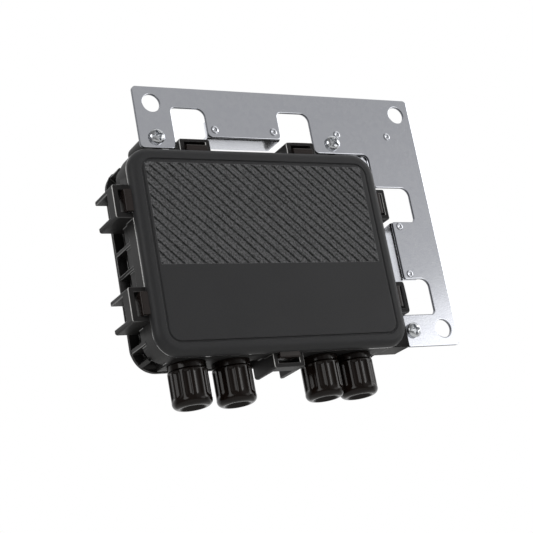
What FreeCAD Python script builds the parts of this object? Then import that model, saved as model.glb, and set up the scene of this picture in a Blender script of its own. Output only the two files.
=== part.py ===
import FreeCAD, Part
import math
import os
import Sketcher

# A solar power optimizer: a flat moulded housing with a snap-on lid, hung in a
# sheet bracket, with four cable glands along its lower edge.
# Millimetres. +X is right and +Z is up as seen from the front, +Y goes back.
# The origin lies midway between the bracket's two top holes, on the sheet's back.

SIZES = [
    # Outline shared by the housing and the lid, and where its centre lies
    ("case_width", 140.8),
    ("case_height", 105.0),
    ("case_corner", 12.0),
    ("parting_y", -4.0),
    # Lid
    ("lid_depth", 4.9),
    ("lid_wall", 2.4),
    ("lid_edge_round", 4.0),
    ("panel_inset", 6.1),
    ("panel_corner", 6.5),
    ("panel_line", 0.9),
    ("panel_line_depth", 0.6),
    ("field_inset", 1.2),
    ("field_height", 52.3),
    ("field_corner", 5.3),
    ("groove_pitch", 4.1),
    ("groove_width", 1.15),
    ("groove_depth", 0.7),
    ("press_rib", 1.4),
    ("press_rib_gap", 0.6),
    ("lip_wall", 1.5),
    ("lip_depth", 5.0),
    ("lip_clearance", 0.3),
    # Housing levels, each one behind the last
    ("band_depth", 8.2),
    ("step_depth", 6.7),
    ("step_inset", 1.0),
    ("core_depth", 10.3),
    ("core_inset", 5.5),
    ("flange_thickness", 2.0),
    ("floor_thickness", 2.4),
    ("core_wall", 2.5),
    ("rib_thickness", 2.0),
    ("rib_upper", 7.2),
    ("rib_lower", -4.8),
    ("rib_bottom_inset", 10.8),
    ("rib_shy", 0.1),
    # Gasket in the rim
    ("gasket_inset", 2.6),
    ("gasket_groove", 2.8),
    ("gasket_groove_depth", 2.4),
    ("gasket_clearance", 0.15),
    ("gasket_proud", 0.3),
    # Latches: a loop on the housing, a tongue on the lid
    ("latch_length", 17.0),
    ("latch_cheek", 2.6),
    ("latch_corner", 1.2),
    ("latch_bar_depth", 7.0),
    ("latch_back", 21.6),
    ("latch_top_x", 30.6),
    ("latch_side_z", 25.7),
    ("latch_top_reach", 7.0),
    ("latch_left_reach", 8.6),
    ("latch_right_reach", 6.6),
    ("latch_bottom_reach", 7.2),
    ("latch_top_bar", 1.6),
    ("latch_left_bar", 2.8),
    ("latch_right_bar", 2.2),
    ("latch_bottom_bar", 2.5),
    ("tongue_side_gap", 0.3),
    ("tongue_thickness", 1.8),
    ("tongue_bar_gap", 2.1),
    ("tongue_drop", 1.2),
    ("barb_clearance", 0.25),
    ("barb_length", 2.8),
    ("barb_gap", 0.4),
    # Bosses that the bracket is screwed to
    ("boss_radius", 5.0),
    ("boss_web", 6.0),
    ("corner_block_depth", 11.4),
    ("corner_block_reach", 2.8),
    ("corner_block_height", 16.0),
    ("screw_left_inset", 20.7),
    ("screw_right_inset", 18.1),
    ("screw_above", 8.4),
    ("screw_side_gap", 7.8),
    ("screw_side_above", 9.4),
    # Bracket sheet
    ("plate_left_inset", 11.5),
    ("plate_bottom_rise", 0.8),
    ("plate_top_strip", 33.1),
    ("plate_side_strip", 32.5),
    ("plate_thickness", 1.5),
    ("plate_corner", 2.2),
    ("top_gap", 2.7),
    ("side_gap", 3.2),
    ("tab_gap", 9.6),
    ("notch_near_gap", 0.5),
    ("notch_far_gap", 1.6),
    ("notch_above_gap", 2.2),
    ("notch_below_gap", 0.4),
    ("notch_top_web", 10.8),
    ("notch_side_web", 11.3),
    ("notch_small_round", 2.5),
    ("notch_large_round", 4.6),
    ("inner_corner", 3.5),
    ("bend_inside", 0.7),
    # Angles clinched behind the sheet; their lips stand back from its edges
    ("angle_leg", 8.8),
    ("angle_lip_back", 13.5),
    ("corner_leg", 14.0),
    ("corner_lip_back", 10.0),
    ("corner_lip_across", 14.5),
    ("corner_lip_down", 10.9),
    ("corner_screw_margin", 5.8),
    ("hole_left_inset", 9.4),
    ("hole_right_inset", 8.4),
    ("hole_top_inset", 8.9),
    ("hole_low_inset", 9.2),
    ("hole_radius", 4.85),
    ("clinch_radius", 2.1),
    ("clinch_height", 0.4),
    ("clinch_dimple", 0.7),
    ("clinch_wall", 0.1),
    ("clinch_inset", 4.0),
    ("clinch_end_inset", 2.6),
    ("clinch_corner_inset", 15.6),
    # Where the bracket's holes leave the sheet, and so the case, from the origin
    ("hole_spacing", "=case_width - plate_left_inset + side_gap + plate_side_strip"
                     " - hole_left_inset - hole_right_inset"),
    ("plate_left", "=-hole_spacing / 2 - hole_left_inset"),
    ("plate_right", "=hole_spacing / 2 + hole_right_inset"),
    ("case_x", "=plate_left - plate_left_inset + case_width / 2"),
    ("case_z", "=hole_top_inset - plate_top_strip - top_gap - case_height / 2"),
    ("plate_bottom", "=case_z - case_height / 2 + plate_bottom_rise"),
    ("hole_drop", "=-plate_bottom - hole_low_inset"),
    # Screws
    ("screw_radius", 1.95),
    ("screw_hole_gap", 0.05),
    ("screw_head_radius", 4.0),
    ("screw_head_height", 2.6),
    ("screw_length", 10.0),
    ("screw_cross", 0.9),
    ("screw_cross_reach", 2.3),
    ("screw_cross_depth", 1.5),
    # Cable glands, measured down from the housing's lower face
    ("gland_y", 8.3),
    ("gland_one_inset", 21.2),
    ("gland_left_pitch", 23.8),
    ("gland_four_inset", 26.1),
    ("gland_right_pitch", 20.0),
    ("gland_one_x", "=gland_one_inset - case_width / 2"),
    ("gland_two_x", "=gland_one_x + gland_left_pitch"),
    ("gland_four_x", "=case_width / 2 - gland_four_inset"),
    ("gland_three_x", "=gland_four_x - gland_right_pitch"),
    ("gland_thread_radius", 7.6),
    ("gland_bore_radius", 5.0),
    ("gland_collar_radius", 9.5),
    ("gland_collar", 3.2),
    ("gland_plug", 7.5),
    ("gland_spigot", 9.8),
    ("gland_thread_gap", 0.08),
    ("gland_pad_margin", 1.2),
    ("gland_pad_back", 10.2),
    ("ring_section", 0.65),
    ("ring_radius", 8.35),
    ("ring_room", 0.1),
    ("seal_radius", 6.1),
    ("seal_length", 6.5),
    ("cable_radius", 3.05),
    ("pressure_ring_radius", 6.9),
    ("pressure_ring_bore", 3.6),
    ("pressure_ring_height", 2.5),
    ("pressure_ring_taper", 0.9),
    ("pressure_ring_cone", 1.35),
    ("nut_radius", 9.8),
    ("nut_length", 17.6),
    ("nut_gap", 0.3),
    ("nut_end_round", 3.0),
    ("nut_opening", 5.0),
    ("nut_mouth", 6.25),
    ("nut_mouth_depth", 2.5),
    ("nut_cone", 1.5),
    ("flute_count", 12),
    ("flute_radius", 3.4),
    ("flute_depth", 0.7),
    ("flute_length", 14.85),
    # Circuit board and what it carries
    ("board_side_gap", 4.4),
    ("board_top_gap", 3.5),
    ("wiring_height", 14.8),
    ("board_thickness", 1.6),
    ("board_corner", 2.0),
    ("post_height", 4.0),
    ("post_radius", 3.2),
    ("post_upper_inset", 4.0),
    ("post_lower_inset", 4.2),
    ("board_screw_radius", 1.4),
    ("board_screw_head", 2.7),
    ("board_screw_head_height", 1.8),
    ("board_screw_length", 5.4),
    ("board_screw_cross", 0.6),
    ("board_screw_cross_reach", 1.5),
    ("board_screw_cross_depth", 0.9),
    # Places on the board are shares of its half width and half height, from its middle
    ("inductor_side", 26.0),
    ("inductor_corner", 4.3),
    ("inductor_height", 15.0),
    ("inductor_ring", 10.9),
    ("inductor_core", 7.8),
    ("inductor_ring_depth", 2.5),
    ("inductor_left_share", -0.655),
    ("inductor_right_share", -0.138),
    ("inductor_up_share", 0.35),
    ("film_width", 26.0),
    ("film_height", 9.0),
    ("film_corner", 1.0),
    ("film_depth", 15.0),
    ("film_up_share", -0.287),
    ("can_radius", 6.2),
    ("can_height", 17.0),
    ("can_foot", 1.7),
    ("can_crimp", 0.65),
    ("can_crimp_height", 1.4),
    ("can_edge", 0.6),
    ("can_first_share", 0.259),
    ("can_pitch_share", 0.259),
    ("can_up_share", 0.717),
    ("transistor_width", 10.0),
    ("transistor_height", 9.0),
    ("transistor_depth", 3.2),
    ("transistor_tab_inset", 1.0),
    ("transistor_tab_reach", 1.8),
    ("transistor_tab_thickness", 1.3),
    ("transistor_first_share", -0.776),
    ("transistor_pitch_share", 0.2414),
    ("thermal_pad_margin", 3.0),
    ("diode_width", 10.0),
    ("diode_height", 14.0),
    ("diode_depth", 4.5),
    ("diode_share", 0.224),
    ("diode_up_share", -0.287),
    ("chip_side", 12.0),
    ("chip_depth", 1.6),
    ("chip_share", 0.414),
    ("chip_up_share", 0.18),
    ("shield_width", 22.0),
    ("shield_height", 18.0),
    ("shield_corner", 1.0),
    ("shield_depth", 3.2),
    ("shield_share", 0.759),
    ("shield_up_share", 0.123),
    ("terminal_width", 12.0),
    ("terminal_height", 11.6),
    ("terminal_depth", 11.0),
    ("terminal_corner", 1.0),
    ("terminal_wire_radius", 2.4),
    ("terminal_wire_depth", 8.0),
    ("terminal_screw_radius", 2.6),
    ("terminal_screw_depth", 1.4),
]

doc = FreeCAD.newDocument("solar_power_optimizer")
sheet = doc.addObject("Spreadsheet::Sheet", "sizes")
for row, (alias, value) in enumerate(SIZES, start=1):
    sheet.set("A%d" % row, alias)
    sheet.set("B%d" % row, str(value))
    sheet.setAlias("B%d" % row, alias)
doc.recompute()


class Size:
    """A length that keeps its value now and the same formula over the sheet."""

    def __init__(self, value, formula):
        self.value = value
        self.formula = formula

    def __add__(self, other):
        other = as_size(other)
        return Size(self.value + other.value, "(%s + %s)" % (self.formula, other.formula))

    def __sub__(self, other):
        other = as_size(other)
        return Size(self.value - other.value, "(%s - %s)" % (self.formula, other.formula))

    def __mul__(self, other):
        other = as_size(other)
        return Size(self.value * other.value, "(%s * %s)" % (self.formula, other.formula))

    def __truediv__(self, other):
        other = as_size(other)
        return Size(self.value / other.value, "(%s / %s)" % (self.formula, other.formula))

    def __neg__(self):
        return Size(-self.value, "(-1 * %s)" % self.formula)

    def at_least(self, low):
        return Size(max(self.value, low), "max(%s; %s)" % (self.formula, low))


def as_size(thing):
    """A bare number as a Size; a Size stays as it is."""
    if isinstance(thing, Size):
        return thing
    return Size(float(thing), "(%r)" % float(thing))


class SheetSizes:
    """Reads a cell of the sheet by its alias, as a Size."""

    def __getattr__(self, alias):
        return Size(float(sheet.get(alias)), "sizes." + alias)


s = SheetSizes()
ZERO = as_size(0)
# How far a cut runs past the face that it opens
THROUGH = 1.0
# How far a joined solid runs into the one that carries it
ROOT = 0.5
# The smallest corner that an outline keeps, however far it is moved inwards
LEAST_CORNER = 0.5
# A pan head's flat top and its upright side, as shares of its radius and height
HEAD_TOP = 0.8
HEAD_SIDE = 0.55


def bind(thing, path, size):
    """Ties one property of an object to its formula over the sheet."""
    thing.setExpression(path, as_size(size).formula)


def place(thing, x, y, z):
    """Puts a sub-part at a point, bound to the sheet."""
    bind(thing, "Placement.Base.x", x)
    bind(thing, "Placement.Base.y", y)
    bind(thing, "Placement.Base.z", z)


def place_on_case(thing):
    """Puts a sub-part that was drawn about the outline's centre."""
    place(thing, s.case_x, ZERO, s.case_z)


def new_body(label):
    body = doc.addObject("PartDesign::Body", label)
    body.Label = label
    return body


def new_sketch(body, role, offset):
    """A sketch on one of the body's own origin planes, moved along its normal."""
    plane = [feature for feature in body.Origin.OriginFeatures if feature.Role == role][0]
    sketch = body.newObject("Sketcher::SketchObject", "sketch")
    sketch.AttachmentSupport = [(plane, "")]
    sketch.MapMode = "FlatFace"
    bind(sketch, "AttachmentOffset.Base.z", offset)
    return sketch


class Drawing:
    """Collects a sketch's constraints, then adds them in one go and binds their sizes."""

    def __init__(self, sketch):
        self.sketch = sketch
        self.rules = []

    def add(self, geometry):
        return self.sketch.addGeometry(geometry, False)

    def rule(self, *constraint):
        self.rules.append((Sketcher.Constraint(*constraint), None))

    def size(self, size, *constraint):
        """A dimension, bound to the sheet."""
        self.rules.append((Sketcher.Constraint(*constraint, size.value), size))

    def fix_point(self, geometry, point, across, up):
        """Dimensions a point from the sketch's origin, in either direction or both."""
        for kind, size in (("DistanceX", across), ("DistanceY", up)):
            if size is not None:
                self.size(size, kind, -1, 1, geometry, point)

    def finish(self):
        self.sketch.addConstraint([constraint for constraint, size in self.rules])
        for index, (constraint, size) in enumerate(self.rules):
            if size is not None:
                bind(self.sketch, "Constraints[%d]" % index, size)


def outline(corners):
    """A closed outline of level and upright lines: (across, up, corner radius or None)."""
    return ("outline", [(as_size(a), as_size(b), r) for a, b, r in corners])


def rectangle(left, bottom, right, top, radius=None):
    return outline([(left, bottom, radius), (right, bottom, radius),
                    (right, top, radius), (left, top, radius)])


def polygon(points):
    """A closed outline of straight lines at any angle, each corner dimensioned."""
    return ("polygon", [(as_size(a), as_size(b)) for a, b in points])


def circle(across, up, radius):
    return ("circle", (as_size(across), as_size(up), as_size(radius)))


def draw_outline(drawing, corners):
    """Lines with tangent corner arcs; a line's own level or station is its only place."""
    count = len(corners)
    spots = [FreeCAD.Vector(a.value, b.value, 0) for a, b, r in corners]
    ways = [(spots[(i + 1) % count] - spots[i]).normalize() for i in range(count)]
    rounds = [0.0 if r is None else as_size(r).value for a, b, r in corners]
    lines = []
    for i in range(count):
        start = spots[i] + ways[i] * rounds[i]
        end = spots[(i + 1) % count] - ways[i] * rounds[(i + 1) % count]
        lines.append(drawing.add(Part.LineSegment(start, end)))
    for i in range(count):
        level = abs(ways[i].x) > abs(ways[i].y)
        drawing.rule("Horizontal" if level else "Vertical", lines[i])
        after = (i + 1) % count
        if rounds[after] == 0.0:
            drawing.rule("Coincident", lines[i], 2, lines[after], 1)
        else:
            draw_corner(drawing, lines[i], lines[after], spots[after], ways[i], ways[after],
                        as_size(corners[after][2]))
        across, up, _ = corners[i]
        drawing.fix_point(lines[i], 1, None if level else across, up if level else None)


def draw_corner(drawing, before, after, spot, way_in, way_out, radius):
    """One corner arc, drawn anticlockwise whichever way the outline turns."""
    centre = spot - way_in * radius.value + way_out * radius.value
    left_turn = way_in.x * way_out.y - way_in.y * way_out.x > 0
    first = centre - way_out * radius.value if left_turn else centre + way_in * radius.value
    angle = math.atan2(first.y - centre.y, first.x - centre.x)
    ring = Part.Circle(centre, FreeCAD.Vector(0, 0, 1), radius.value)
    arc = drawing.add(Part.ArcOfCircle(ring, angle, angle + math.pi / 2))
    near, far = (1, 2) if left_turn else (2, 1)
    drawing.rule("Tangent", before, 2, arc, near)
    drawing.rule("Tangent", after, 1, arc, far)
    drawing.size(radius, "Radius", arc)


def draw_polygon(drawing, points):
    count = len(points)
    spots = [FreeCAD.Vector(a.value, b.value, 0) for a, b in points]
    lines = [drawing.add(Part.LineSegment(spots[i], spots[(i + 1) % count])) for i in range(count)]
    for i in range(count):
        drawing.rule("Coincident", lines[i], 2, lines[(i + 1) % count], 1)
        drawing.fix_point(lines[i], 1, points[i][0], points[i][1])


def draw_circle(drawing, across, up, radius):
    middle = FreeCAD.Vector(across.value, up.value, 0)
    ring = drawing.add(Part.Circle(middle, FreeCAD.Vector(0, 0, 1), radius.value))
    drawing.fix_point(ring, 3, across, up)
    drawing.size(radius, "Radius", ring)


def draw(sketch, shapes):
    drawing = Drawing(sketch)
    for kind, data in shapes:
        if kind == "outline":
            draw_outline(drawing, data)
        elif kind == "polygon":
            draw_polygon(drawing, data)
        else:
            draw_circle(drawing, *data)
    drawing.finish()


def prism(body, feature_kind, role, shapes, low, high):
    """A pad or a pocket of some closed shapes, from one level to another.

    The XZ plane faces -Y, so there a pad starts at its back and a pocket at its front.
    """
    low = as_size(low)
    high = as_size(high)
    adds = feature_kind == "Pad"
    if role == "XZ_Plane":
        offset = -high if adds else -low
    else:
        offset = low if adds else high
    sketch = new_sketch(body, role, offset)
    draw(sketch, shapes)
    feature = body.newObject("PartDesign::" + feature_kind, feature_kind.lower())
    feature.Profile = sketch
    bind(feature, "Length", high - low)
    return feature


def pad(body, shapes, low, high, role="XZ_Plane"):
    return prism(body, "Pad", role, shapes, low, high)


def pocket(body, shapes, low, high, role="XZ_Plane"):
    return prism(body, "Pocket", role, shapes, low, high)


def turned(body, points, feature_kind="Revolution"):
    """A profile of (radius, height) points, turned about the upright axis."""
    sketch = new_sketch(body, "XZ_Plane", ZERO)
    draw(sketch, [polygon(points)])
    feature = body.newObject("PartDesign::" + feature_kind, "turned")
    feature.Profile = sketch
    feature.ReferenceAxis = (sketch, ["V_Axis"])
    feature.Angle = 360
    return feature


def round_edges(body, feature, chosen, radius):
    """Rounds the edges of a feature that a test picks by where they lie."""
    doc.recompute()
    names = ["Edge%d" % (i + 1) for i, edge in enumerate(feature.Shape.Edges) if chosen(edge)]
    fillet = body.newObject("PartDesign::Fillet", "fillet")
    fillet.Base = (feature, names)
    bind(fillet, "Radius", radius)
    return fillet


def group(label, members):
    """Several like solids in one node."""
    whole = doc.addObject("Part::Compound", label)
    whole.Links = members
    whole.Label = label
    return whole


# Shared levels and edges, all worked out from the sheet.
HALF_WIDTH = s.case_width / 2
HALF_HEIGHT = s.case_height / 2
LID_FRONT = s.parting_y - s.lid_depth
BAND_BACK = s.parting_y + s.band_depth
STEP_BACK = BAND_BACK + s.step_depth
CORE_BACK = STEP_BACK + s.core_depth
HOUSING_BACK = CORE_BACK + s.flange_thickness
FLOOR = HOUSING_BACK - s.floor_thickness
CAVITY_INSET = s.core_inset + s.core_wall
LATCH_BACK = s.parting_y + s.latch_back
BOARD_BACK = FLOOR - s.post_height
BOARD_FRONT = BOARD_BACK - s.board_thickness
BOARD_HALF = HALF_WIDTH - CAVITY_INSET - s.board_side_gap
BOARD_TOP = HALF_HEIGHT - CAVITY_INSET - s.board_top_gap
BOARD_BOTTOM = CAVITY_INSET + s.wiring_height - HALF_HEIGHT
SLOT_HALF = s.latch_length / 2 - s.latch_cheek
SCREW_SPOTS = [(-HALF_WIDTH + s.screw_left_inset, HALF_HEIGHT + s.screw_above),
               (HALF_WIDTH - s.screw_right_inset, HALF_HEIGHT + s.screw_above),
               (HALF_WIDTH + s.screw_side_gap, -HALF_HEIGHT + s.screw_side_above)]
GLAND_X = [s.gland_one_x, s.gland_two_x, s.gland_three_x, s.gland_four_x]
POST_SPOTS = [(s.post_upper_inset - BOARD_HALF, BOARD_TOP - s.post_upper_inset),
              (BOARD_HALF - s.post_upper_inset, BOARD_TOP - s.post_upper_inset),
              ((GLAND_X[0] + GLAND_X[1]) / 2, BOARD_BOTTOM + s.post_lower_inset),
              ((GLAND_X[2] + GLAND_X[3]) / 2, BOARD_BOTTOM + s.post_lower_inset)]
# Each latch: its side, its place along that side, its reach and its bar's thickness
LATCHES = [("top", -s.latch_top_x, s.latch_top_reach, s.latch_top_bar),
           ("top", s.latch_top_x, s.latch_top_reach, s.latch_top_bar),
           ("left", s.latch_side_z, s.latch_left_reach, s.latch_left_bar),
           ("left", -s.latch_side_z, s.latch_left_reach, s.latch_left_bar),
           ("right", s.latch_side_z, s.latch_right_reach, s.latch_right_bar),
           ("right", -s.latch_side_z, s.latch_right_reach, s.latch_right_bar),
           ("bottom", ZERO, s.latch_bottom_reach, s.latch_bottom_bar)]


def case_outline(inset, corner=None):
    """The case's outline moved inwards, with its corners kept concentric."""
    inset = as_size(inset)
    radius = (s.case_corner - inset).at_least(LEAST_CORNER) if corner is None else corner
    return rectangle(-HALF_WIDTH + inset, -HALF_HEIGHT + inset,
                     HALF_WIDTH - inset, HALF_HEIGHT - inset, radius)


def on_side(side, along_low, along_high, out_low, out_high, rounds=(None, None)):
    """A rectangle at one side of the outline: along that side, and out from it.

    The two rounds are the radii of its outer corners, at the low and the high end.
    """
    low_round, high_round = rounds
    if side == "top":
        return outline([(along_low, HALF_HEIGHT + out_low, None), (along_high, HALF_HEIGHT + out_low, None),
                        (along_high, HALF_HEIGHT + out_high, high_round),
                        (along_low, HALF_HEIGHT + out_high, low_round)])
    if side == "bottom":
        return outline([(along_low, -HALF_HEIGHT - out_low, None),
                        (along_low, -HALF_HEIGHT - out_high, low_round),
                        (along_high, -HALF_HEIGHT - out_high, high_round),
                        (along_high, -HALF_HEIGHT - out_low, None)])
    if side == "right":
        return outline([(HALF_WIDTH + out_low, along_low, None),
                        (HALF_WIDTH + out_high, along_low, low_round),
                        (HALF_WIDTH + out_high, along_high, high_round),
                        (HALF_WIDTH + out_low, along_high, None)])
    return outline([(-HALF_WIDTH - out_low, along_low, None), (-HALF_WIDTH - out_low, along_high, None),
                    (-HALF_WIDTH - out_high, along_high, high_round),
                    (-HALF_WIDTH - out_high, along_low, low_round)])


def corner_rib(side, level, angle, start, end):
    """A rib across one corner: side and level are -1 or 1, the angle is above the level."""
    middle_x = (HALF_WIDTH - s.case_corner) * side
    middle_z = (HALF_HEIGHT - s.case_corner) * level
    out_x = side * math.cos(math.radians(angle))
    out_z = level * math.sin(math.radians(angle))
    half = s.rib_thickness / 2
    points = []
    for reach, turn in ((start, -1), (end, -1), (end, 1), (start, 1)):
        points.append((middle_x + reach * out_x - half * (turn * out_z),
                       middle_z + reach * out_z + half * (turn * out_x)))
    return polygon(points)


def make_base_housing():
    """The moulded tray: rim, stepped wall with ribs, back flange, latch loops and bosses."""
    body = new_body("base_housing")
    pad(body, [case_outline(0)], s.parting_y, BAND_BACK)
    pad(body, [case_outline(s.step_inset)], BAND_BACK, STEP_BACK)
    pad(body, [case_outline(s.core_inset)], STEP_BACK, CORE_BACK)
    pad(body, [case_outline(0)], CORE_BACK, HOUSING_BACK)
    add_ribs(body)
    add_latch_loops(body)
    add_gland_pads(body)
    add_bosses(body)
    pocket(body, [case_outline(CAVITY_INSET)], s.parting_y, FLOOR)
    pocket(body, [case_outline(s.gasket_inset), case_outline(s.gasket_inset + s.gasket_groove)],
           s.parting_y, s.parting_y + s.gasket_groove_depth)
    bores = [circle(x, s.gland_y, s.gland_thread_radius + s.screw_hole_gap) for x in GLAND_X]
    pocket(body, bores, -HALF_HEIGHT - THROUGH, -HALF_HEIGHT + CAVITY_INSET + THROUGH, "XY_Plane")
    add_board_posts(body)
    place_on_case(body)
    return body


def add_ribs(body):
    """Upright ribs between the band and the back flange, and slanted ones at the corners."""
    inner = -s.core_inset - ROOT
    half = s.rib_thickness / 2
    ribs = []
    for side in ("left", "right"):
        for middle in (s.rib_upper, s.rib_lower, s.rib_bottom_inset - HALF_HEIGHT):
            ribs.append(on_side(side, middle - half, middle + half, inner, ZERO))
    for middle in (-(s.rib_upper - s.rib_lower) / 2, (s.rib_upper - s.rib_lower) / 2):
        ribs.append(on_side("top", middle - half, middle + half, inner, ZERO))
    pad(body, ribs, BAND_BACK, CORE_BACK)
    slanted = [corner_rib(side, level, 45, s.case_corner - CAVITY_INSET, s.case_corner - s.rib_shy)
               for side, level in ((-1, -1), (1, -1), (-1, 1), (1, 1))]
    pad(body, slanted, STEP_BACK, CORE_BACK)


def add_latch_loops(body):
    """Each loop has two deep cheeks and a shallow bar in front, which the tongue hooks."""
    cheeks = []
    bars = []
    for side, middle, reach, bar in LATCHES:
        low = middle - s.latch_length / 2
        high = middle + s.latch_length / 2
        inner = -s.core_inset - ROOT
        cheeks.append(on_side(side, low, low + s.latch_cheek, inner, reach, (s.latch_corner, None)))
        cheeks.append(on_side(side, high - s.latch_cheek, high, inner, reach, (None, s.latch_corner)))
        bars.append(on_side(side, low, high, reach - bar, reach, (s.latch_corner, s.latch_corner)))
    pad(body, cheeks, s.parting_y, LATCH_BACK)
    pad(body, bars, s.parting_y, s.parting_y + s.latch_bar_depth)


def add_gland_pads(body):
    """Flat pads that carry the glands, one under each pair."""
    pads = []
    for first, last in ((GLAND_X[0], GLAND_X[1]), (GLAND_X[2], GLAND_X[3])):
        low = first - s.gland_collar_radius - s.gland_pad_margin
        high = last + s.gland_collar_radius + s.gland_pad_margin
        pads.append(on_side("bottom", low, high, -s.core_inset - ROOT, ZERO))
    pad(body, pads, BAND_BACK, s.gland_y + s.gland_pad_back)


def add_bosses(body):
    """Three round bosses behind the bracket, each with a bore for its screw.

    The upper two are as deep as the housing, and the right one also carries the corner angle.
    """
    (left_x, top_z), (right_x, _), (side_x, side_z) = SCREW_SPOTS
    for x, front in ((left_x, ZERO), (right_x, s.plate_thickness)):
        web = rectangle(x - s.boss_web / 2, HALF_HEIGHT - s.core_inset - ROOT, x + s.boss_web / 2, top_z)
        pad(body, [web], front, HOUSING_BACK)
        pad(body, [circle(x, top_z, s.boss_radius)], front, HOUSING_BACK)
    corner = rectangle(HALF_WIDTH - s.case_corner, -HALF_HEIGHT + ROOT,
                       HALF_WIDTH + s.corner_block_reach, -HALF_HEIGHT + s.corner_block_height)
    pad(body, [corner], s.parting_y + THROUGH, s.corner_block_depth)
    arm = rectangle(HALF_WIDTH, side_z - s.boss_radius, side_x, side_z + s.boss_radius)
    pad(body, [arm], ZERO, s.corner_block_depth)
    pad(body, [circle(side_x, side_z, s.boss_radius)], ZERO, s.corner_block_depth)
    bores = [circle(x, z, s.screw_radius + s.screw_hole_gap) for x, z in SCREW_SPOTS]
    pocket(body, bores, -THROUGH, s.screw_length - s.plate_thickness + THROUGH)


def add_board_posts(body):
    """Four posts on the floor that the circuit board is screwed to."""
    pad(body, [circle(x, z, s.post_radius) for x, z in POST_SPOTS], BOARD_BACK, FLOOR + ROOT)
    bore = s.board_screw_radius + s.screw_hole_gap
    pocket(body, [circle(x, z, bore) for x, z in POST_SPOTS], BOARD_BACK - THROUGH, FLOOR)


def make_lid():
    """The snap-on lid: rounded front, fine frame line, slanted grooves and seven tongues."""
    shell = new_body("lid_shell")
    plate = pad(shell, [case_outline(0)], LID_FRONT, s.parting_y)
    front = LID_FRONT.value
    round_edges(shell, plate, lambda edge: all(abs(v.Y - front) < 0.01 for v in edge.Vertexes),
                s.lid_edge_round)
    pocket(shell, [case_outline(s.lid_wall)], LID_FRONT + s.lid_wall, s.parting_y + THROUGH)
    outer = CAVITY_INSET + s.lip_clearance
    pad(shell, [case_outline(outer), case_outline(outer + s.lip_wall)],
        LID_FRONT + s.lid_wall - ROOT, LID_FRONT + s.lid_wall + s.lip_depth)
    rib = s.gasket_inset + (s.gasket_groove - s.press_rib) / 2
    pad(shell, [case_outline(rib), case_outline(rib + s.press_rib)],
        LID_FRONT + s.lid_wall - ROOT, s.parting_y - s.press_rib_gap)
    line_inner = s.panel_inset + s.panel_line
    pocket(shell, [case_outline(s.panel_inset, s.panel_corner),
                   case_outline(line_inner, s.panel_corner - s.panel_line)],
           LID_FRONT - THROUGH, LID_FRONT + s.panel_line_depth)
    add_tongues(shell)
    lid = doc.addObject("Part::Cut", "lid")
    lid.Label = "lid"
    lid.Base = shell
    lid.Tool = make_grooves()
    place_on_case(lid)
    return lid


def add_tongues(shell):
    """Each tongue leaves the lid's edge, turns back through its loop and ends in a barb."""
    plates = []
    legs = []
    barbs = []
    width = SLOT_HALF - s.tongue_side_gap
    for side, middle, reach, bar in LATCHES:
        outer = reach - bar - s.tongue_bar_gap
        low = middle - width
        high = middle + width
        plates.append(on_side(side, low, high, -s.lid_wall / 2, outer))
        legs.append(on_side(side, low, high, outer - s.tongue_thickness, outer))
        barbs.append(on_side(side, low, high, outer - s.tongue_thickness,
                             reach - bar - s.barb_clearance))
    start = LID_FRONT + s.lid_edge_round - s.tongue_drop
    bar_back = s.parting_y + s.latch_bar_depth
    pad(shell, plates, start, start + s.tongue_thickness)
    pad(shell, legs, start, bar_back + s.barb_gap + s.barb_length)
    pad(shell, barbs, bar_back + s.barb_gap, bar_back + s.barb_gap + s.barb_length)


def make_grooves():
    """Slanted bars, clipped to the rounded field, that cut the grooves of the lid's front."""
    inset = s.panel_inset + s.panel_line + s.field_inset
    left = -HALF_WIDTH + inset
    right = HALF_WIDTH - inset - s.field_inset
    top = HALF_HEIGHT - inset
    bottom = top - s.field_height
    field = new_body("groove_field")
    floor = LID_FRONT + s.groove_depth
    corner = s.field_corner
    pad(field, [outline([(left, bottom, None), (right, bottom, None), (right, top, corner),
                         (left, top, corner)])], LID_FRONT - THROUGH, floor)
    slant = math.sqrt(0.5)
    length = (right - left) + (top - bottom)
    middle_x = (left + right) / 2
    middle_z = (top + bottom) / 2
    half_count = int((length * slant / 2 / s.groove_pitch).value)
    bars = []
    for i in range(-half_count, half_count + 1):
        bar = doc.addObject("Part::Box", "groove_bar")
        bind(bar, "Length", length)
        bind(bar, "Width", s.groove_depth + THROUGH)
        bind(bar, "Height", s.groove_width)
        bar.Placement = FreeCAD.Placement(FreeCAD.Vector(), FreeCAD.Rotation(FreeCAD.Vector(0, 1, 0), 45))
        step = (s.groove_pitch * i - s.groove_width / 2) * slant
        place(bar, middle_x + step - length * (slant / 2), LID_FRONT - THROUGH,
              middle_z + step + length * (slant / 2))
        bars.append(bar)
    joined = doc.addObject("Part::MultiFuse", "groove_bars")
    joined.Shapes = bars
    clipped = doc.addObject("Part::MultiCommon", "grooves")
    clipped.Shapes = [field, joined]
    return clipped


def make_gasket():
    """The rubber ring in the rim's groove, a little proud of it."""
    body = new_body("lid_gasket")
    outer = s.gasket_inset + s.gasket_clearance
    inner = s.gasket_inset + s.gasket_groove - s.gasket_clearance
    pad(body, [case_outline(outer), case_outline(inner)],
        s.parting_y - s.gasket_proud, s.parting_y + s.gasket_groove_depth)
    place_on_case(body)
    return body


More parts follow.
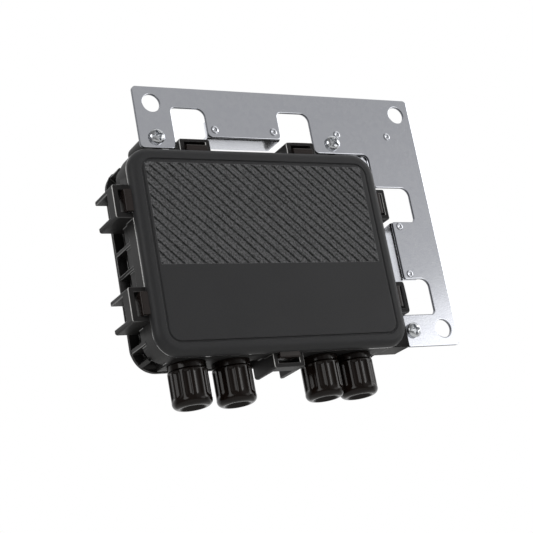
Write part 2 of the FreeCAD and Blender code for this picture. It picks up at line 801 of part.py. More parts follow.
def bracket_edges():
    """The bracket's edges, worked out from the case and its latches."""
    case_right = s.case_x + HALF_WIDTH
    case_top = s.case_z + HALF_HEIGHT
    half = s.latch_length / 2
    return {
        "left": s.plate_left,
        "right": s.plate_right,
        "top": s.hole_top_inset,
        "bottom": s.plate_bottom,
        "edge_z": case_top + s.top_gap,
        "edge_x": case_right + s.side_gap,
        "tab_z": case_top + s.tab_gap,
        "tab_x": case_right + s.tab_gap,
        "notch_top": s.hole_top_inset - s.notch_top_web,
        "notch_right": s.plate_right - s.notch_side_web,
        "one_left": s.case_x - s.latch_top_x - half - s.notch_near_gap,
        "one_right": s.case_x - s.latch_top_x + half + s.notch_far_gap,
        "two_left": s.case_x + s.latch_top_x - half - s.notch_near_gap,
        "two_right": s.case_x + s.latch_top_x + half + s.notch_far_gap,
        "three_top": s.case_z + s.latch_side_z + half + s.notch_above_gap,
        "three_low": s.case_z + s.latch_side_z - half - s.notch_below_gap,
        "four_top": s.case_z - s.latch_side_z + half + s.notch_above_gap,
        "four_low": s.case_z - s.latch_side_z - half - s.notch_below_gap,
        "lip_left": case_right - s.side_gap - s.corner_lip_across + s.inner_corner,
        "lip_low": case_top + s.top_gap - s.corner_lip_down,
        "leg_left": s.case_x + SCREW_SPOTS[1][0] - s.corner_screw_margin,
    }


def bracket_outline(e):
    """The flat sheet's outline, with a notch round each latch loop that it passes."""
    small = s.notch_small_round
    large = s.notch_large_round
    corner = s.plate_corner
    return outline([
        (e["left"], e["top"], corner), (e["left"], e["edge_z"], corner),
        (e["one_left"], e["edge_z"], corner), (e["one_left"], e["notch_top"], small),
        (e["one_right"], e["notch_top"], large), (e["one_right"], e["tab_z"], small),
        (e["two_left"], e["tab_z"], small), (e["two_left"], e["notch_top"], small),
        (e["two_right"], e["notch_top"], large), (e["two_right"], e["edge_z"], small),
        (e["edge_x"], e["edge_z"], s.inner_corner), (e["edge_x"], e["three_top"], small / 2),
        (e["notch_right"], e["three_top"], large), (e["notch_right"], e["three_low"], small),
        (e["tab_x"], e["three_low"], small / 2), (e["tab_x"], e["four_top"], small / 2),
        (e["notch_right"], e["four_top"], large), (e["notch_right"], e["four_low"], small),
        (e["edge_x"], e["four_low"], small / 2), (e["edge_x"], e["bottom"], small / 2),
        (e["right"], e["bottom"], corner), (e["right"], e["top"], corner)])


def make_bracket():
    """The flat sheet: stepped outline, notches round the latches, pips and holes."""
    body = new_body("mounting_bracket")
    e = bracket_edges()
    pad(body, [bracket_outline(e)], -s.plate_thickness, ZERO)
    add_clinches(body, e)
    half = s.hole_spacing / 2
    holes = [circle(-half, ZERO, s.hole_radius), circle(half, ZERO, s.hole_radius),
             circle(half, -s.hole_drop, s.hole_radius)]
    for x, z in SCREW_SPOTS:
        holes.append(circle(s.case_x + x, s.case_z + z, s.screw_radius + s.screw_hole_gap))
    pocket(body, holes, -s.plate_thickness - THROUGH, as_size(THROUGH))
    return body


def angle_section(edge, leg, back, swap):
    """An angle's section: down its leg behind the sheet, round the bend and straight back.

    The section runs (depth, height), or (height, depth) where swap is set.
    """
    t = s.plate_thickness
    corners = [(ZERO, edge + leg, None), (ZERO, edge, s.bend_inside + t), (back, edge, None),
               (back, edge + t, None), (t, edge + t, s.bend_inside), (t, edge + leg, None)]
    if swap:
        corners = [(b, a, r) for a, b, r in corners]
    return outline(corners)


def make_straight_angles():
    """The angle over the lid's middle and the one at its right, each with one straight lip."""
    e = bracket_edges()
    top = new_body("bracket_angle_top")
    pad(top, [angle_section(e["tab_z"], s.angle_leg, s.angle_lip_back, False)],
        e["one_right"], e["two_left"], "YZ_Plane")
    right = new_body("bracket_angle_right")
    pad(right, [angle_section(e["tab_x"], s.angle_leg, s.angle_lip_back, True)],
        e["four_top"], e["three_low"], "XY_Plane")
    return [top, right]


def make_corner_angle():
    """The angle round the case's corner: two straight stretches, a quarter turn and a flat foot."""
    body = new_body("bracket_angle_corner")
    e = bracket_edges()
    leg = s.corner_leg
    back = s.corner_lip_back
    pad(body, [angle_section(e["edge_z"], leg, back, False)],
        e["lip_left"], e["edge_x"] - s.inner_corner, "YZ_Plane")
    pad(body, [angle_section(e["edge_x"], leg, back, True)],
        e["lip_low"], e["edge_z"] - s.inner_corner, "XY_Plane")
    sketch = new_sketch(body, "YZ_Plane", e["edge_x"] - s.inner_corner)
    bind(sketch, "AttachmentOffset.Base.y", e["edge_z"] - s.inner_corner)
    draw(sketch, [angle_section(s.inner_corner, leg, back, False)])
    turn = body.newObject("PartDesign::Revolution", "lip_corner")
    turn.Profile = sketch
    turn.ReferenceAxis = (sketch, ["H_Axis"])
    turn.Angle = 90
    foot = rectangle(e["leg_left"], e["edge_z"] + s.plate_corner, e["lip_left"] + ROOT, e["edge_z"] + leg)
    pad(body, [foot], ZERO, s.plate_thickness)
    x, z = SCREW_SPOTS[1]
    hole = circle(s.case_x + x, s.case_z + z, s.screw_radius + s.screw_hole_gap)
    pocket(body, [hole], -THROUGH, s.plate_thickness + THROUGH)
    return body


def add_clinches(body, e):
    """Six pressed joints that hold the angles: pips on the sheet's front, each with a dimple."""
    row_z = e["tab_z"] + s.clinch_inset
    tab_x = e["tab_x"] + s.clinch_inset
    spots = [(e["one_right"] + s.clinch_inset, row_z), (e["two_left"] - s.clinch_inset, row_z),
             (e["two_right"] + s.clinch_corner_inset, row_z),
             (e["right"] - s.plate_corner - s.clinch_corner_inset, row_z),
             (tab_x, e["three_low"] - s.clinch_end_inset), (tab_x, e["four_top"] + s.clinch_end_inset)]
    front = -s.plate_thickness
    pad(body, [circle(x, z, s.clinch_radius) for x, z in spots], front - s.clinch_height, front + ROOT)
    pocket(body, [circle(x, z, s.clinch_dimple) for x, z in spots],
           front - s.clinch_height - THROUGH, front - s.clinch_wall)


def make_screw(name, head_radius, head_height, shank_radius, length, cross):
    """A pan-head screw along Y: the head lies in front of Y = 0, the shank behind it."""
    body = new_body(name)
    sketch = new_sketch(body, "XY_Plane", ZERO)
    draw(sketch, [polygon([(ZERO, -head_height), (head_radius * HEAD_TOP, -head_height),
                           (head_radius, -head_height * HEAD_SIDE), (head_radius, ZERO),
                           (shank_radius, ZERO), (shank_radius, length - shank_radius / 2),
                           (shank_radius / 2, length), (ZERO, length)])])
    turn = body.newObject("PartDesign::Revolution", "turned")
    turn.Profile = sketch
    turn.ReferenceAxis = (sketch, ["V_Axis"])
    turn.Angle = 360
    half, reach, depth = cross
    plus = outline([(-half, -reach, None), (half, -reach, None), (half, -half, None),
                    (reach, -half, None), (reach, half, None), (half, half, None),
                    (half, reach, None), (-half, reach, None), (-half, half, None),
                    (-reach, half, None), (-reach, -half, None), (-half, -half, None)])
    pocket(body, [plus], -head_height, -head_height + depth)
    return body


def make_bracket_screws():
    """Three pan-head screws that hold the bracket to the housing's bosses."""
    screws = []
    for i, (x, z) in enumerate(SCREW_SPOTS):
        cross = (s.screw_cross / 2, s.screw_cross_reach, s.screw_cross_depth)
        screw = make_screw("bracket_screw_%d" % (i + 1), s.screw_head_radius, s.screw_head_height,
                           s.screw_radius, s.screw_length, cross)
        place(screw, s.case_x + x, -s.plate_thickness, s.case_z + z)
        screws.append(screw)
    return group("bracket_screws", screws)


def place_gland(thing, x):
    """A gland's pieces are drawn about its axis, down from the housing's lower face."""
    place(thing, s.case_x + x, s.gland_y, s.case_z - HALF_HEIGHT)


def make_gland_body(number, x):
    """The plastic stem: threaded into the housing, collar, and the spigot for the nut."""
    body = new_body("gland_body_%d" % number)
    groove = s.ring_section * 2 + s.ring_room
    groove_outer = s.ring_radius + s.ring_section + s.screw_hole_gap
    spigot_end = -s.gland_collar - s.gland_spigot
    seat = s.seal_radius + s.screw_hole_gap
    turned(body, [(s.gland_bore_radius, s.gland_plug), (s.gland_thread_radius, s.gland_plug),
                  (s.gland_thread_radius, -groove), (groove_outer, -groove), (groove_outer, ZERO),
                  (s.gland_collar_radius, ZERO), (s.gland_collar_radius, -s.gland_collar),
                  (s.gland_thread_radius, -s.gland_collar), (s.gland_thread_radius, spigot_end),
                  (seat, spigot_end), (seat, spigot_end + s.seal_length),
                  (s.gland_bore_radius, spigot_end + s.seal_length)])
    place_gland(body, x)
    return body


def make_gland_o_ring(number, x):
    """The O-ring under the collar."""
    ring = doc.addObject("Part::Torus", "gland_o_ring_%d" % number)
    ring.Label = "gland_o_ring_%d" % number
    bind(ring, "Radius1", s.ring_radius)
    bind(ring, "Radius2", s.ring_section)
    place(ring, s.case_x + x, s.gland_y, s.case_z - HALF_HEIGHT - s.ring_section)
    return ring


def make_gland_seal(number, x):
    """The rubber sleeve that grips the cable, in the spigot's seat."""
    body = new_body("gland_seal_%d" % number)
    end = -s.gland_collar - s.gland_spigot
    turned(body, [(s.cable_radius, end + s.seal_length), (s.seal_radius, end + s.seal_length),
                  (s.seal_radius, end), (s.cable_radius, end)])
    place_gland(body, x)
    return body


def make_pressure_ring(number, x):
    """The plain ring that the nut pushes on the seal; it doesn't turn with the nut."""
    body = new_body("gland_ring_%d" % number)
    top = -s.gland_collar - s.gland_spigot - s.nut_gap
    low = top - s.pressure_ring_height
    turned(body, [(s.pressure_ring_bore, top), (s.pressure_ring_radius, top),
                  (s.pressure_ring_radius, low + s.pressure_ring_taper),
                  (s.pressure_ring_radius - s.pressure_ring_cone, low), (s.pressure_ring_bore, low)])
    place_gland(body, x)
    return body


def make_gland_nut(number, x):
    """The domed and fluted nut, threaded on the spigot, with a cone that meets the ring."""
    body = new_body("gland_nut_%d" % number)
    top = -s.gland_collar - s.nut_gap
    end = top - s.nut_length
    bore = s.gland_thread_radius + s.gland_thread_gap
    ring_side = s.pressure_ring_height - s.pressure_ring_taper
    cone_top = -s.gland_collar - s.gland_spigot - s.nut_gap * 1.5 - ring_side
    shape = turned(body, [(bore, top), (s.nut_radius, top), (s.nut_radius, end), (s.nut_mouth, end),
                          (s.nut_opening, end + s.nut_mouth_depth),
                          (s.nut_opening, cone_top - s.nut_cone), (bore, cone_top)])
    rim = s.nut_radius.value
    floor = end.value
    rounded = round_edges(body, shape, lambda edge: abs(edge.BoundBox.XMax - rim) < 0.01
                          and abs(edge.BoundBox.ZMin - floor) < 0.01
                          and edge.BoundBox.ZLength < 0.01, s.nut_end_round)
    distance = s.nut_radius - s.flute_depth + s.flute_radius
    flute = pocket(body, [circle(distance, ZERO, s.flute_radius)],
                   top - s.flute_length, top + THROUGH, "XY_Plane")
    pattern = body.newObject("PartDesign::PolarPattern", "flutes")
    pattern.Originals = [flute]
    upright = [feature for feature in body.Origin.OriginFeatures if feature.Role == "Z_Axis"][0]
    pattern.Axis = (upright, [""])
    pattern.Angle = 360
    pattern.Occurrences = int(s.flute_count.value)
    body.Tip = pattern
    place_gland(body, x)
    return body


def make_board():
    """The circuit board, with holes over the four posts."""
    body = new_body("circuit_board")
    pad(body, [rectangle(-BOARD_HALF, BOARD_BOTTOM, BOARD_HALF, BOARD_TOP, s.board_corner)],
        BOARD_FRONT, BOARD_BACK)
    hole = s.board_screw_radius + s.screw_hole_gap
    pocket(body, [circle(x, z, hole) for x, z in POST_SPOTS],
           BOARD_FRONT - THROUGH, BOARD_BACK + THROUGH)
    place_on_case(body)
    return body


def make_board_screws():
    screws = []
    for i, (x, z) in enumerate(POST_SPOTS):
        cross = (s.board_screw_cross / 2, s.board_screw_cross_reach, s.board_screw_cross_depth)
        screw = make_screw("board_screw_%d" % (i + 1), s.board_screw_head, s.board_screw_head_height,
                           s.board_screw_radius, s.board_screw_length, cross)
        place(screw, s.case_x + x, BOARD_FRONT, s.case_z + z)
        screws.append(screw)
    return group("board_screws", screws)


def spot_on_board(across, up):
    """A place on the board, from shares of its half width and half height."""
    return BOARD_HALF * across, (BOARD_TOP + BOARD_BOTTOM) / 2 + (BOARD_TOP - BOARD_BOTTOM) / 2 * up


def block_on_board(label, spot, width, height, depth, radius):
    """A moulded block that stands on the board's front."""
    body = new_body(label)
    x, z = spot
    pad(body, [rectangle(x - width / 2, z - height / 2, x + width / 2, z + height / 2, radius)],
        BOARD_FRONT - depth, BOARD_FRONT)
    place_on_case(body)
    return body


def make_inductor(number, share):
    """A pot-core inductor: square ferrite with rounded corners and a raised round centre."""
    x, z = spot_on_board(share, s.inductor_up_share)
    body = block_on_board("power_inductor_%d" % number, (x, z), s.inductor_side, s.inductor_side,
                          s.inductor_height, s.inductor_corner)
    front = BOARD_FRONT - s.inductor_height
    pocket(body, [circle(x, z, s.inductor_ring), circle(x, z, s.inductor_core)],
           front - THROUGH, front + s.inductor_ring_depth)
    return body


def make_can(number):
    """An electrolytic capacitor can, with the crimp near its foot and a flat top."""
    body = new_body("electrolytic_capacitor_%d" % number)
    r = s.can_radius
    tall = s.can_height
    crimp = -s.can_foot - s.can_crimp_height / 2
    sketch = new_sketch(body, "XY_Plane", ZERO)
    draw(sketch, [polygon([(ZERO, ZERO), (r, ZERO), (r, -s.can_foot), (r - s.can_crimp, crimp),
                           (r, -s.can_foot - s.can_crimp_height), (r, s.can_edge - tall),
                           (r - s.can_edge, -tall), (ZERO, -tall)])])
    turn = body.newObject("PartDesign::Revolution", "turned")
    turn.Profile = sketch
    turn.ReferenceAxis = (sketch, ["V_Axis"])
    turn.Angle = 360
    x, z = spot_on_board(s.can_first_share + s.can_pitch_share * (number - 1), s.can_up_share)
    place(body, s.case_x + x, BOARD_FRONT, s.case_z + z)
    return body


def make_transistor(number):
    """A power transistor on the back of the board, its flat tab towards the floor."""
    body = new_body("power_transistor_%d" % number)
    x, z = spot_on_board(s.transistor_first_share + s.transistor_pitch_share * (number - 1),
                         s.inductor_up_share)
    half = s.transistor_width / 2
    low = z - s.transistor_height / 2
    high = z + s.transistor_height / 2
    back = BOARD_BACK + s.transistor_depth
    pad(body, [rectangle(x - half, low, x + half, high)], BOARD_BACK, back)
    tab = half - s.transistor_tab_inset
    pad(body, [rectangle(x - tab, high - ROOT, x + tab, high + s.transistor_tab_reach)],
        back - s.transistor_tab_thickness, back)
    place_on_case(body)
    return body


def make_thermal_pad():
    """The soft pad that carries the transistors' heat to the housing's floor."""
    body = new_body("thermal_pad")
    half = s.transistor_width / 2 + s.thermal_pad_margin
    left, z = spot_on_board(s.transistor_first_share, s.inductor_up_share)
    right, z = spot_on_board(s.transistor_first_share + s.transistor_pitch_share * 3,
                             s.inductor_up_share)
    up = s.transistor_height / 2 + s.thermal_pad_margin
    pad(body, [rectangle(left - half, z - up, right + half, z + up)],
        BOARD_BACK + s.transistor_depth, FLOOR)
    place_on_case(body)
    return body


def make_terminal(number, x):
    """A screw terminal over each gland: wire mouth below, clamp screw in front."""
    z = BOARD_BOTTOM + s.terminal_height / 2
    body = block_on_board("terminal_block_%d" % number, (x, z), s.terminal_width,
                          s.terminal_height, s.terminal_depth, s.terminal_corner)
    axis_y = BOARD_FRONT - s.terminal_depth / 2
    pocket(body, [circle(x, axis_y, s.terminal_wire_radius)],
           BOARD_BOTTOM - THROUGH, BOARD_BOTTOM + s.terminal_wire_depth, "XY_Plane")
    front = BOARD_FRONT - s.terminal_depth
    pocket(body, [circle(x, z, s.terminal_screw_radius)], front - THROUGH, front + s.terminal_screw_depth)
    return body


def make_parts():
    """Every sub-part, in the order in which it goes on."""
    parts = [make_base_housing(), make_lid(), make_gasket(), make_bracket(), make_corner_angle()]
    parts += make_straight_angles()
    parts.append(make_bracket_screws())
    for number, x in enumerate(GLAND_X, start=1):
        parts += [make_gland_body(number, x), make_gland_o_ring(number, x), make_gland_seal(number, x),
                  make_pressure_ring(number, x), make_gland_nut(number, x), make_terminal(number, x)]
    parts += [make_board(), make_board_screws(), make_thermal_pad()]
    for number, share in enumerate((s.inductor_left_share, s.inductor_right_share), start=1):
        parts.append(make_inductor(number, share))
        parts.append(block_on_board("film_capacitor_%d" % number, spot_on_board(share, s.film_up_share),
                                    s.film_width, s.film_height, s.film_depth, s.film_corner))
    parts += [make_can(number) for number in (1, 2, 3)]
    parts += [make_transistor(number) for number in (1, 2, 3, 4)]
    parts.append(block_on_board("bypass_diode", spot_on_board(s.diode_share, s.diode_up_share),
                                s.diode_width, s.diode_height, s.diode_depth, None))
    parts.append(block_on_board("control_chip", spot_on_board(s.chip_share, s.chip_up_share),
                                s.chip_side, s.chip_side, s.chip_depth, None))
    parts.append(block_on_board("radio_shield", spot_on_board(s.shield_share, s.shield_up_share),
                                s.shield_width, s.shield_height, s.shield_depth, s.shield_corner))
    return parts


def check(parts):
    """Stops if any object failed, or if a sub-part has no valid solid."""
    for thing in doc.Objects:
        if "Invalid" in thing.State or "Error" in thing.State:
            raise RuntimeError("%s (%s) did not build" % (thing.Name, thing.Label))
    for part in parts:
        shape = part.Shape
        if shape.isNull() or not shape.isValid() or not shape.Solids:
            raise RuntimeError("%s has no valid solid" % part.Label)


parts = make_parts()
doc.recompute()
check(parts)
os.makedirs("parts", exist_ok=True)
for part in parts:
    part.Shape.exportStep(os.path.join("parts", part.Label + ".step"))
    print("%-28s %2d solids %9.1f mm3" % (part.Label, len(part.Shape.Solids), part.Shape.Volume))
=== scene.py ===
import math

import bmesh
import bpy
import numpy as np
from mathutils import Matrix, Vector
from mathutils.geometry import tessellate_polygon


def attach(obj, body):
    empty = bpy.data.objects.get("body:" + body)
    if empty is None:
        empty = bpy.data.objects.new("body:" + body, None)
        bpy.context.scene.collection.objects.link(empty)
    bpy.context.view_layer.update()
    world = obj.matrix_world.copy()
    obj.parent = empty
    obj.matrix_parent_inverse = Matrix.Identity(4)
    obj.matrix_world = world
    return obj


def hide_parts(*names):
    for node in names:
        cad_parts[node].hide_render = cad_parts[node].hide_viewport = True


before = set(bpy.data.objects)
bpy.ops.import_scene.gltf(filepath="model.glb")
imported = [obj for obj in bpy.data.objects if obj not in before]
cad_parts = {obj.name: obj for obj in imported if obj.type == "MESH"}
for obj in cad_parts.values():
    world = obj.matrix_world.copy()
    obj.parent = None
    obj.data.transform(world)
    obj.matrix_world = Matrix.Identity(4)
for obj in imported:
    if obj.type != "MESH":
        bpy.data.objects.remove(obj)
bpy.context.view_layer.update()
scene = bpy.context.scene


# STUDIO AND CAMERA
# The part hangs before a white sweep, above pale paper, with a soft box in front and one
# behind. Glossy faces mirror a sky of their own: bright behind the part, dark in front,
# with soft panels that give the sheet, the nuts and the moulded edges their highlights.

LENS_MM, SENSOR_MM = 94.53, 36.0
CAMERA_PLACE = (-0.3689, -0.5674, -0.2849)
CAMERA_BACK = Vector((-0.497, -0.819, -0.287))
CAMERA_RIGHT = Vector((0.867, -0.465, -0.177))
# The sky's glows: a direction, the cosines to it where the glow starts and is full, and
# the brightness at each. The sweep is first, then the panels, widest first
GLOWS = [((0.5, 0.82, 0.29), -0.1, 0.5, 0.2, 1.08),
         ((0.5, -0.81, 0.3), 0.8, 0.95, 0.0, 0.26),
         ((0.66, -0.745, 0.0), 0.92, 0.97, 0.0, 0.12),
         ((0.66, -0.745, 0.0), 0.965, 0.975, 0.0, 1.1),
         ((0.86, -0.42, 0.29), 0.975, 0.99, 0.0, 3.5),
         ((-0.82, -0.5, 0.27), 0.95, 0.985, 0.0, 3.0)]
FALLING = 0.33
PART_MIDDLE = Vector((-0.02, 0.0, -0.07))
FLOOR_HEIGHT, FLOOR_HALF, FLOOR_PALER = -0.8, 1.5, 0.45


def linear(hex_colour):
    """An sRGB colour such as #A0B0C0 as linear RGBA: each channel through the sRGB curve."""
    parts = np.array([int(hex_colour[i:i + 2], 16) for i in (1, 3, 5)]) / 255
    rgb = np.where(parts <= 0.04045, parts / 12.92, ((parts + 0.055) / 1.055) ** 2.4)
    return (*rgb.tolist(), 1.0)


def put_node(tree, kind, settings={}, links={}):
    """Adds one shader node. Settings are its properties or its inputs' values.

    Links feed an input from a socket, or from another node's first output.
    """
    made = tree.nodes.new(kind)
    for name, value in settings.items():
        if isinstance(name, str) and hasattr(made, name):
            setattr(made, name, value)
        else:
            made.inputs[name].default_value = value
    for name, source in links.items():
        tree.links.new(source.outputs[0] if hasattr(source, "outputs") else source, made.inputs[name])
    return made


camera_data = bpy.data.cameras.new("camera")
camera_data.sensor_width = SENSOR_MM
camera_data.lens = LENS_MM
camera_data.clip_end = 50.0
camera = bpy.data.objects.new("camera", camera_data)
scene.collection.objects.link(camera)
back = CAMERA_BACK.normalized()
up = back.cross(CAMERA_RIGHT).normalized()
turn = Matrix((up.cross(back).normalized(), up, back)).transposed()
camera.matrix_world = Matrix.Translation(CAMERA_PLACE) @ turn.to_4x4()
scene.camera = camera
scene.view_settings.view_transform = "Standard"

world = bpy.data.worlds.new("white_sweep")
scene.world = world
world.use_nodes = True
room = world.node_tree
room.nodes.clear()
rays = put_node(room, "ShaderNodeLightPath")
way = put_node(room, "ShaderNodeTexCoord").outputs["Generated"]
mirrored = None
for direction, start, full, low, high in GLOWS:
    toward = put_node(room, "ShaderNodeVectorMath",
                      {"operation": "DOT_PRODUCT", 1: Vector(direction).normalized()}, {0: way})
    glow = put_node(room, "ShaderNodeMapRange",
                    {"interpolation_type": "SMOOTHSTEP", "From Min": start, "From Max": full,
                     "To Min": low, "To Max": high}, {"Value": toward.outputs["Value"]})
    mirrored = glow if mirrored is None else put_node(
        room, "ShaderNodeMath", {"operation": "ADD"}, {0: mirrored, 1: glow})
# Light that falls on the part is weaker than the white that is seen
falling = put_node(room, "ShaderNodeMix", {2: FALLING}, {0: rays.outputs["Is Glossy Ray"], 3: mirrored})
seen = put_node(room, "ShaderNodeMath", {"operation": "MAXIMUM"},
                {0: rays.outputs["Is Camera Ray"], 1: rays.outputs["Is Transmission Ray"]})
strength = put_node(room, "ShaderNodeMix", {3: 1.0}, {0: seen, 2: falling})
sky = put_node(room, "ShaderNodeBackground", {"Color": linear("#FFFFFF")}, {"Strength": strength})
put_node(room, "ShaderNodeOutputWorld", {}, {"Surface": sky})

# Soft boxes: square area lamps that face the part and aren't mirrored in it
for name, place, side, watts in (("key_box", (-0.45, -1.1, 0.85), 0.9, 12.5),
                                 ("back_box", (0.55, 1.15, 0.45), 1.1, 12.0)):
    lamp = bpy.data.lights.new(name, "AREA")
    lamp.energy = watts
    lamp.size = side
    box = bpy.data.objects.new(name, lamp)
    box.location = place
    box.rotation_euler = (PART_MIDDLE - Vector(place)).to_track_quat("-Z", "Y").to_euler()
    box.visible_glossy = False
    scene.collection.objects.link(box)


def start_material(name):
    """A new material and its node tree, still empty."""
    material = bpy.data.materials.new(name)
    material.use_nodes = True
    tree = material.node_tree
    tree.nodes.clear()
    return material, tree


# Matte paper. The eye sees it paler than these lamps make it, and still sees the shadow
paper, tree = start_material("pale_paper_floor")
rays = put_node(tree, "ShaderNodeLightPath")
paler = put_node(tree, "ShaderNodeMath", {"operation": "MULTIPLY", 1: FLOOR_PALER},
                 {0: rays.outputs["Is Camera Ray"]})
shader = put_node(tree, "ShaderNodeBsdfPrincipled", {"Base Color": linear("#F4F4F2"), "Roughness": 0.9,
                                                     "Emission Color": linear("#FFFFFF")},
                  {"Emission Strength": paler})
put_node(tree, "ShaderNodeOutputMaterial", {}, {"Surface": shader})
floor_mesh = bpy.data.meshes.new("floor")
floor_mesh.from_pydata([(x * FLOOR_HALF, y * FLOOR_HALF, FLOOR_HEIGHT)
                        for x, y in ((-1, -1), (1, -1), (1, 1), (-1, 1))], [], [(0, 1, 2, 3)])
floor_mesh.materials.append(paper)
floor = bpy.data.objects.new("floor", floor_mesh)
scene.collection.objects.link(floor)


# HOUSING
# The tray of the case, with its ribs, latch loops and bosses: glass-filled polycarbonate,
# injection moulded in one piece, so every outer edge has a small soft radius.

PLASTIC_IOR = 1.5                  # plastics and rubbers lie between 1.46 and 1.58
DRIFT_MM = 35.0                    # how far apart a moulding's duller and glossier places are
EDGE_ANGLE = math.radians(32)      # faces that turn by more than this meet in an edge
NARROW_ANGLE = math.radians(25)    # edges closer than this can't both be rounded


def per_metre(size_mm):
    """A pattern's scale in Object coordinates, which are metres, from one feature's size."""
    return 1000.0 / size_mm


def moulded_plastic(name, hex_colour, roughness, grain_mm, grain_depth_mm, level=0.5, speckle=0.06):
    """Moulded plastic: grain from the tool, and slow drifts of gloss.

    The grain's crests are lighter and its pits darker by the share called speckle. Real
    grain is under 0.1 mm, too fine to show, so it is drawn as coarse as it needs to show.
    """
    material, tree = start_material(name)
    where = put_node(tree, "ShaderNodeTexCoord").outputs["Object"]
    drift = put_node(tree, "ShaderNodeTexNoise", {"Scale": per_metre(DRIFT_MM), "Detail": 3.0},
                     {"Vector": where})
    grain = put_node(tree, "ShaderNodeTexNoise", {"Scale": per_metre(grain_mm), "Detail": 2.0},
                     {"Vector": where})
    dark, light = ([c * share for c in linear(hex_colour)[:3]] + [1.0]
                   for share in (1 - speckle, 1 + speckle))
    crest = put_node(tree, "ShaderNodeMapRange", {"From Min": 0.38, "From Max": 0.62}, {"Value": grain})
    tone = put_node(tree, "ShaderNodeMix", {"data_type": "RGBA", 6: dark, 7: light}, {0: crest})
    gloss = put_node(tree, "ShaderNodeMapRange",
                     {"From Min": 0.3, "From Max": 0.7, "To Min": roughness - 0.06,
                      "To Max": roughness + 0.06}, {"Value": drift})
    relief = put_node(tree, "ShaderNodeBump", {"Strength": 1.0, "Distance": grain_depth_mm / 1000},
                      {"Height": grain})
    shader = put_node(tree, "ShaderNodeBsdfPrincipled", {"IOR": PLASTIC_IOR, "Specular IOR Level": level},
                      {"Base Color": tone.outputs[2], "Roughness": gloss, "Normal": relief})
    put_node(tree, "ShaderNodeOutputMaterial", {}, {"Surface": shader})
    return material


def paint_highlight_toward(material, direction, front_mm, hex_colour):
    """Paints a highlight into a finish: lighter where it faces one way of the part, in front of a depth.

    The new colour's share rises from 0 to 1 as the cosine to that way goes from 0.75 to 0.95.
    """
    tree = material.node_tree
    place = put_node(tree, "ShaderNodeTexCoord")
    facing = put_node(tree, "ShaderNodeVectorMath",
                      {"operation": "DOT_PRODUCT", 1: Vector(direction).normalized()},
                      {0: place.outputs["Normal"]})
    share = put_node(tree, "ShaderNodeMapRange", {"From Min": 0.75, "From Max": 0.95},
                     {"Value": facing.outputs["Value"]})
    split = put_node(tree, "ShaderNodeSeparateXYZ", {}, {0: place.outputs["Object"]})
    front = put_node(tree, "ShaderNodeMath", {"operation": "LESS_THAN", 1: front_mm / 1000},
                     {0: split.outputs["Y"]})
    share = put_node(tree, "ShaderNodeMath", {"operation": "MULTIPLY"}, {0: share, 1: front})
    colour = tree.nodes["Principled BSDF"].inputs["Base Color"]
    tone = put_node(tree, "ShaderNodeMix", {"data_type": "RGBA", 7: linear(hex_colour)},
                    {0: share, 6: colour.links[0].from_socket})
    tree.links.new(tone.outputs[2], colour)


def link_piece(name, mesh, materials, replaced, body="housing"):
    """Puts a finished mesh in the scene: its finishes, the body it rides on, its CAD node."""
    piece = bpy.data.objects.new(name, mesh)
    scene.collection.objects.link(piece)
    mesh.materials.clear()
    for material in materials:
        mesh.materials.append(material)
    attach(piece, body)
    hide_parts(replaced)
    return piece


def welded_copy(node, gap_mm=0.002):
    """A merged copy of a CAD node's mesh, its flat faces joined again.

    Corners nearer than the gap become one, since a soft edge can't turn on a shorter side.
    """
    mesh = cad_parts[node].data.copy()
    work = bmesh.new()
    work.from_mesh(mesh)
    bmesh.ops.remove_doubles(work, verts=work.verts, dist=gap_mm / 1000)
    bmesh.ops.dissolve_limit(work, angle_limit=math.radians(0.5), verts=work.verts, edges=work.edges)
    for edge in work.edges:
        edge.smooth = edge.is_manifold and edge.calc_face_angle() < EDGE_ANGLE
    work.to_mesh(mesh)
    work.free()
    if "custom_normal" in mesh.attributes:
        mesh.attributes.remove(mesh.attributes["custom_normal"])
    mesh.shade_smooth()
    return mesh


def soften(piece, width_mm, edge_material=-1):
    """Rounds each edge of a piece, but for those that leave a corner at a narrow angle.

    There the round of one edge would run far out along the other, so they stay sharp.
    """
    work = bmesh.new()
    work.from_mesh(piece.data)
    weight = work.edges.layers.float.new("bevel_weight_edge")
    for edge in work.edges:
        if edge.is_manifold and edge.calc_face_angle() > EDGE_ANGLE:
            edge[weight] = 1.0
    for corner in work.verts:
        ways = [(edge.other_vert(corner).co - corner.co).normalized() for edge in corner.link_edges]
        if any(ways[i].dot(ways[k]) > math.cos(NARROW_ANGLE) for i in range(len(ways)) for k in range(i)):
            for edge in corner.link_edges:
                edge[weight] = 0.0
    for edge in work.edges:
        edge.smooth = edge.smooth or edge[weight] > 0
    work.to_mesh(piece.data)
    work.free()
    bevel = piece.modifiers.new("soft_edges", "BEVEL")
    bevel.width = width_mm / 1000
    bevel.segments = 2
    bevel.limit_method = "WEIGHT"
    bevel.material = edge_material
    bevel.use_clamp_overlap = False
    piece.modifiers.new("flat_faces", "WEIGHTED_NORMAL").keep_sharp = True


# Grained polycarbonate: dry and charcoal, with broad soft lights. Its edges are glossier, and a painted
# highlight lightens them into thin bright lines, palest where they face left and forward, in front where its
# halves part
housing_plastic = moulded_plastic("charcoal_polycarbonate_housing", "#1F1E1E", 0.5, 0.6, 0.03, 0.2, 0.12)
housing_edges_painted_highlight = moulded_plastic("polished_polycarbonate_edges_painted_highlight", "#2A2928", 0.28, 0.45, 0.002, 1.0)
paint_highlight_toward(housing_edges_painted_highlight, (-1.0, -1.0, 0.0), 14.0, "#C4C3C1")
housing = link_piece("housing_moulding", welded_copy("base_housing", 0.15), [housing_plastic, housing_edges_painted_highlight],
                     "base_housing")
soften(housing, 0.4, 1)


# SEALS
# Black moulded rubber: the gasket that the lid's rib squeezes in the rim, an O-ring under
# each gland's collar, and the sleeve that grips each cable.

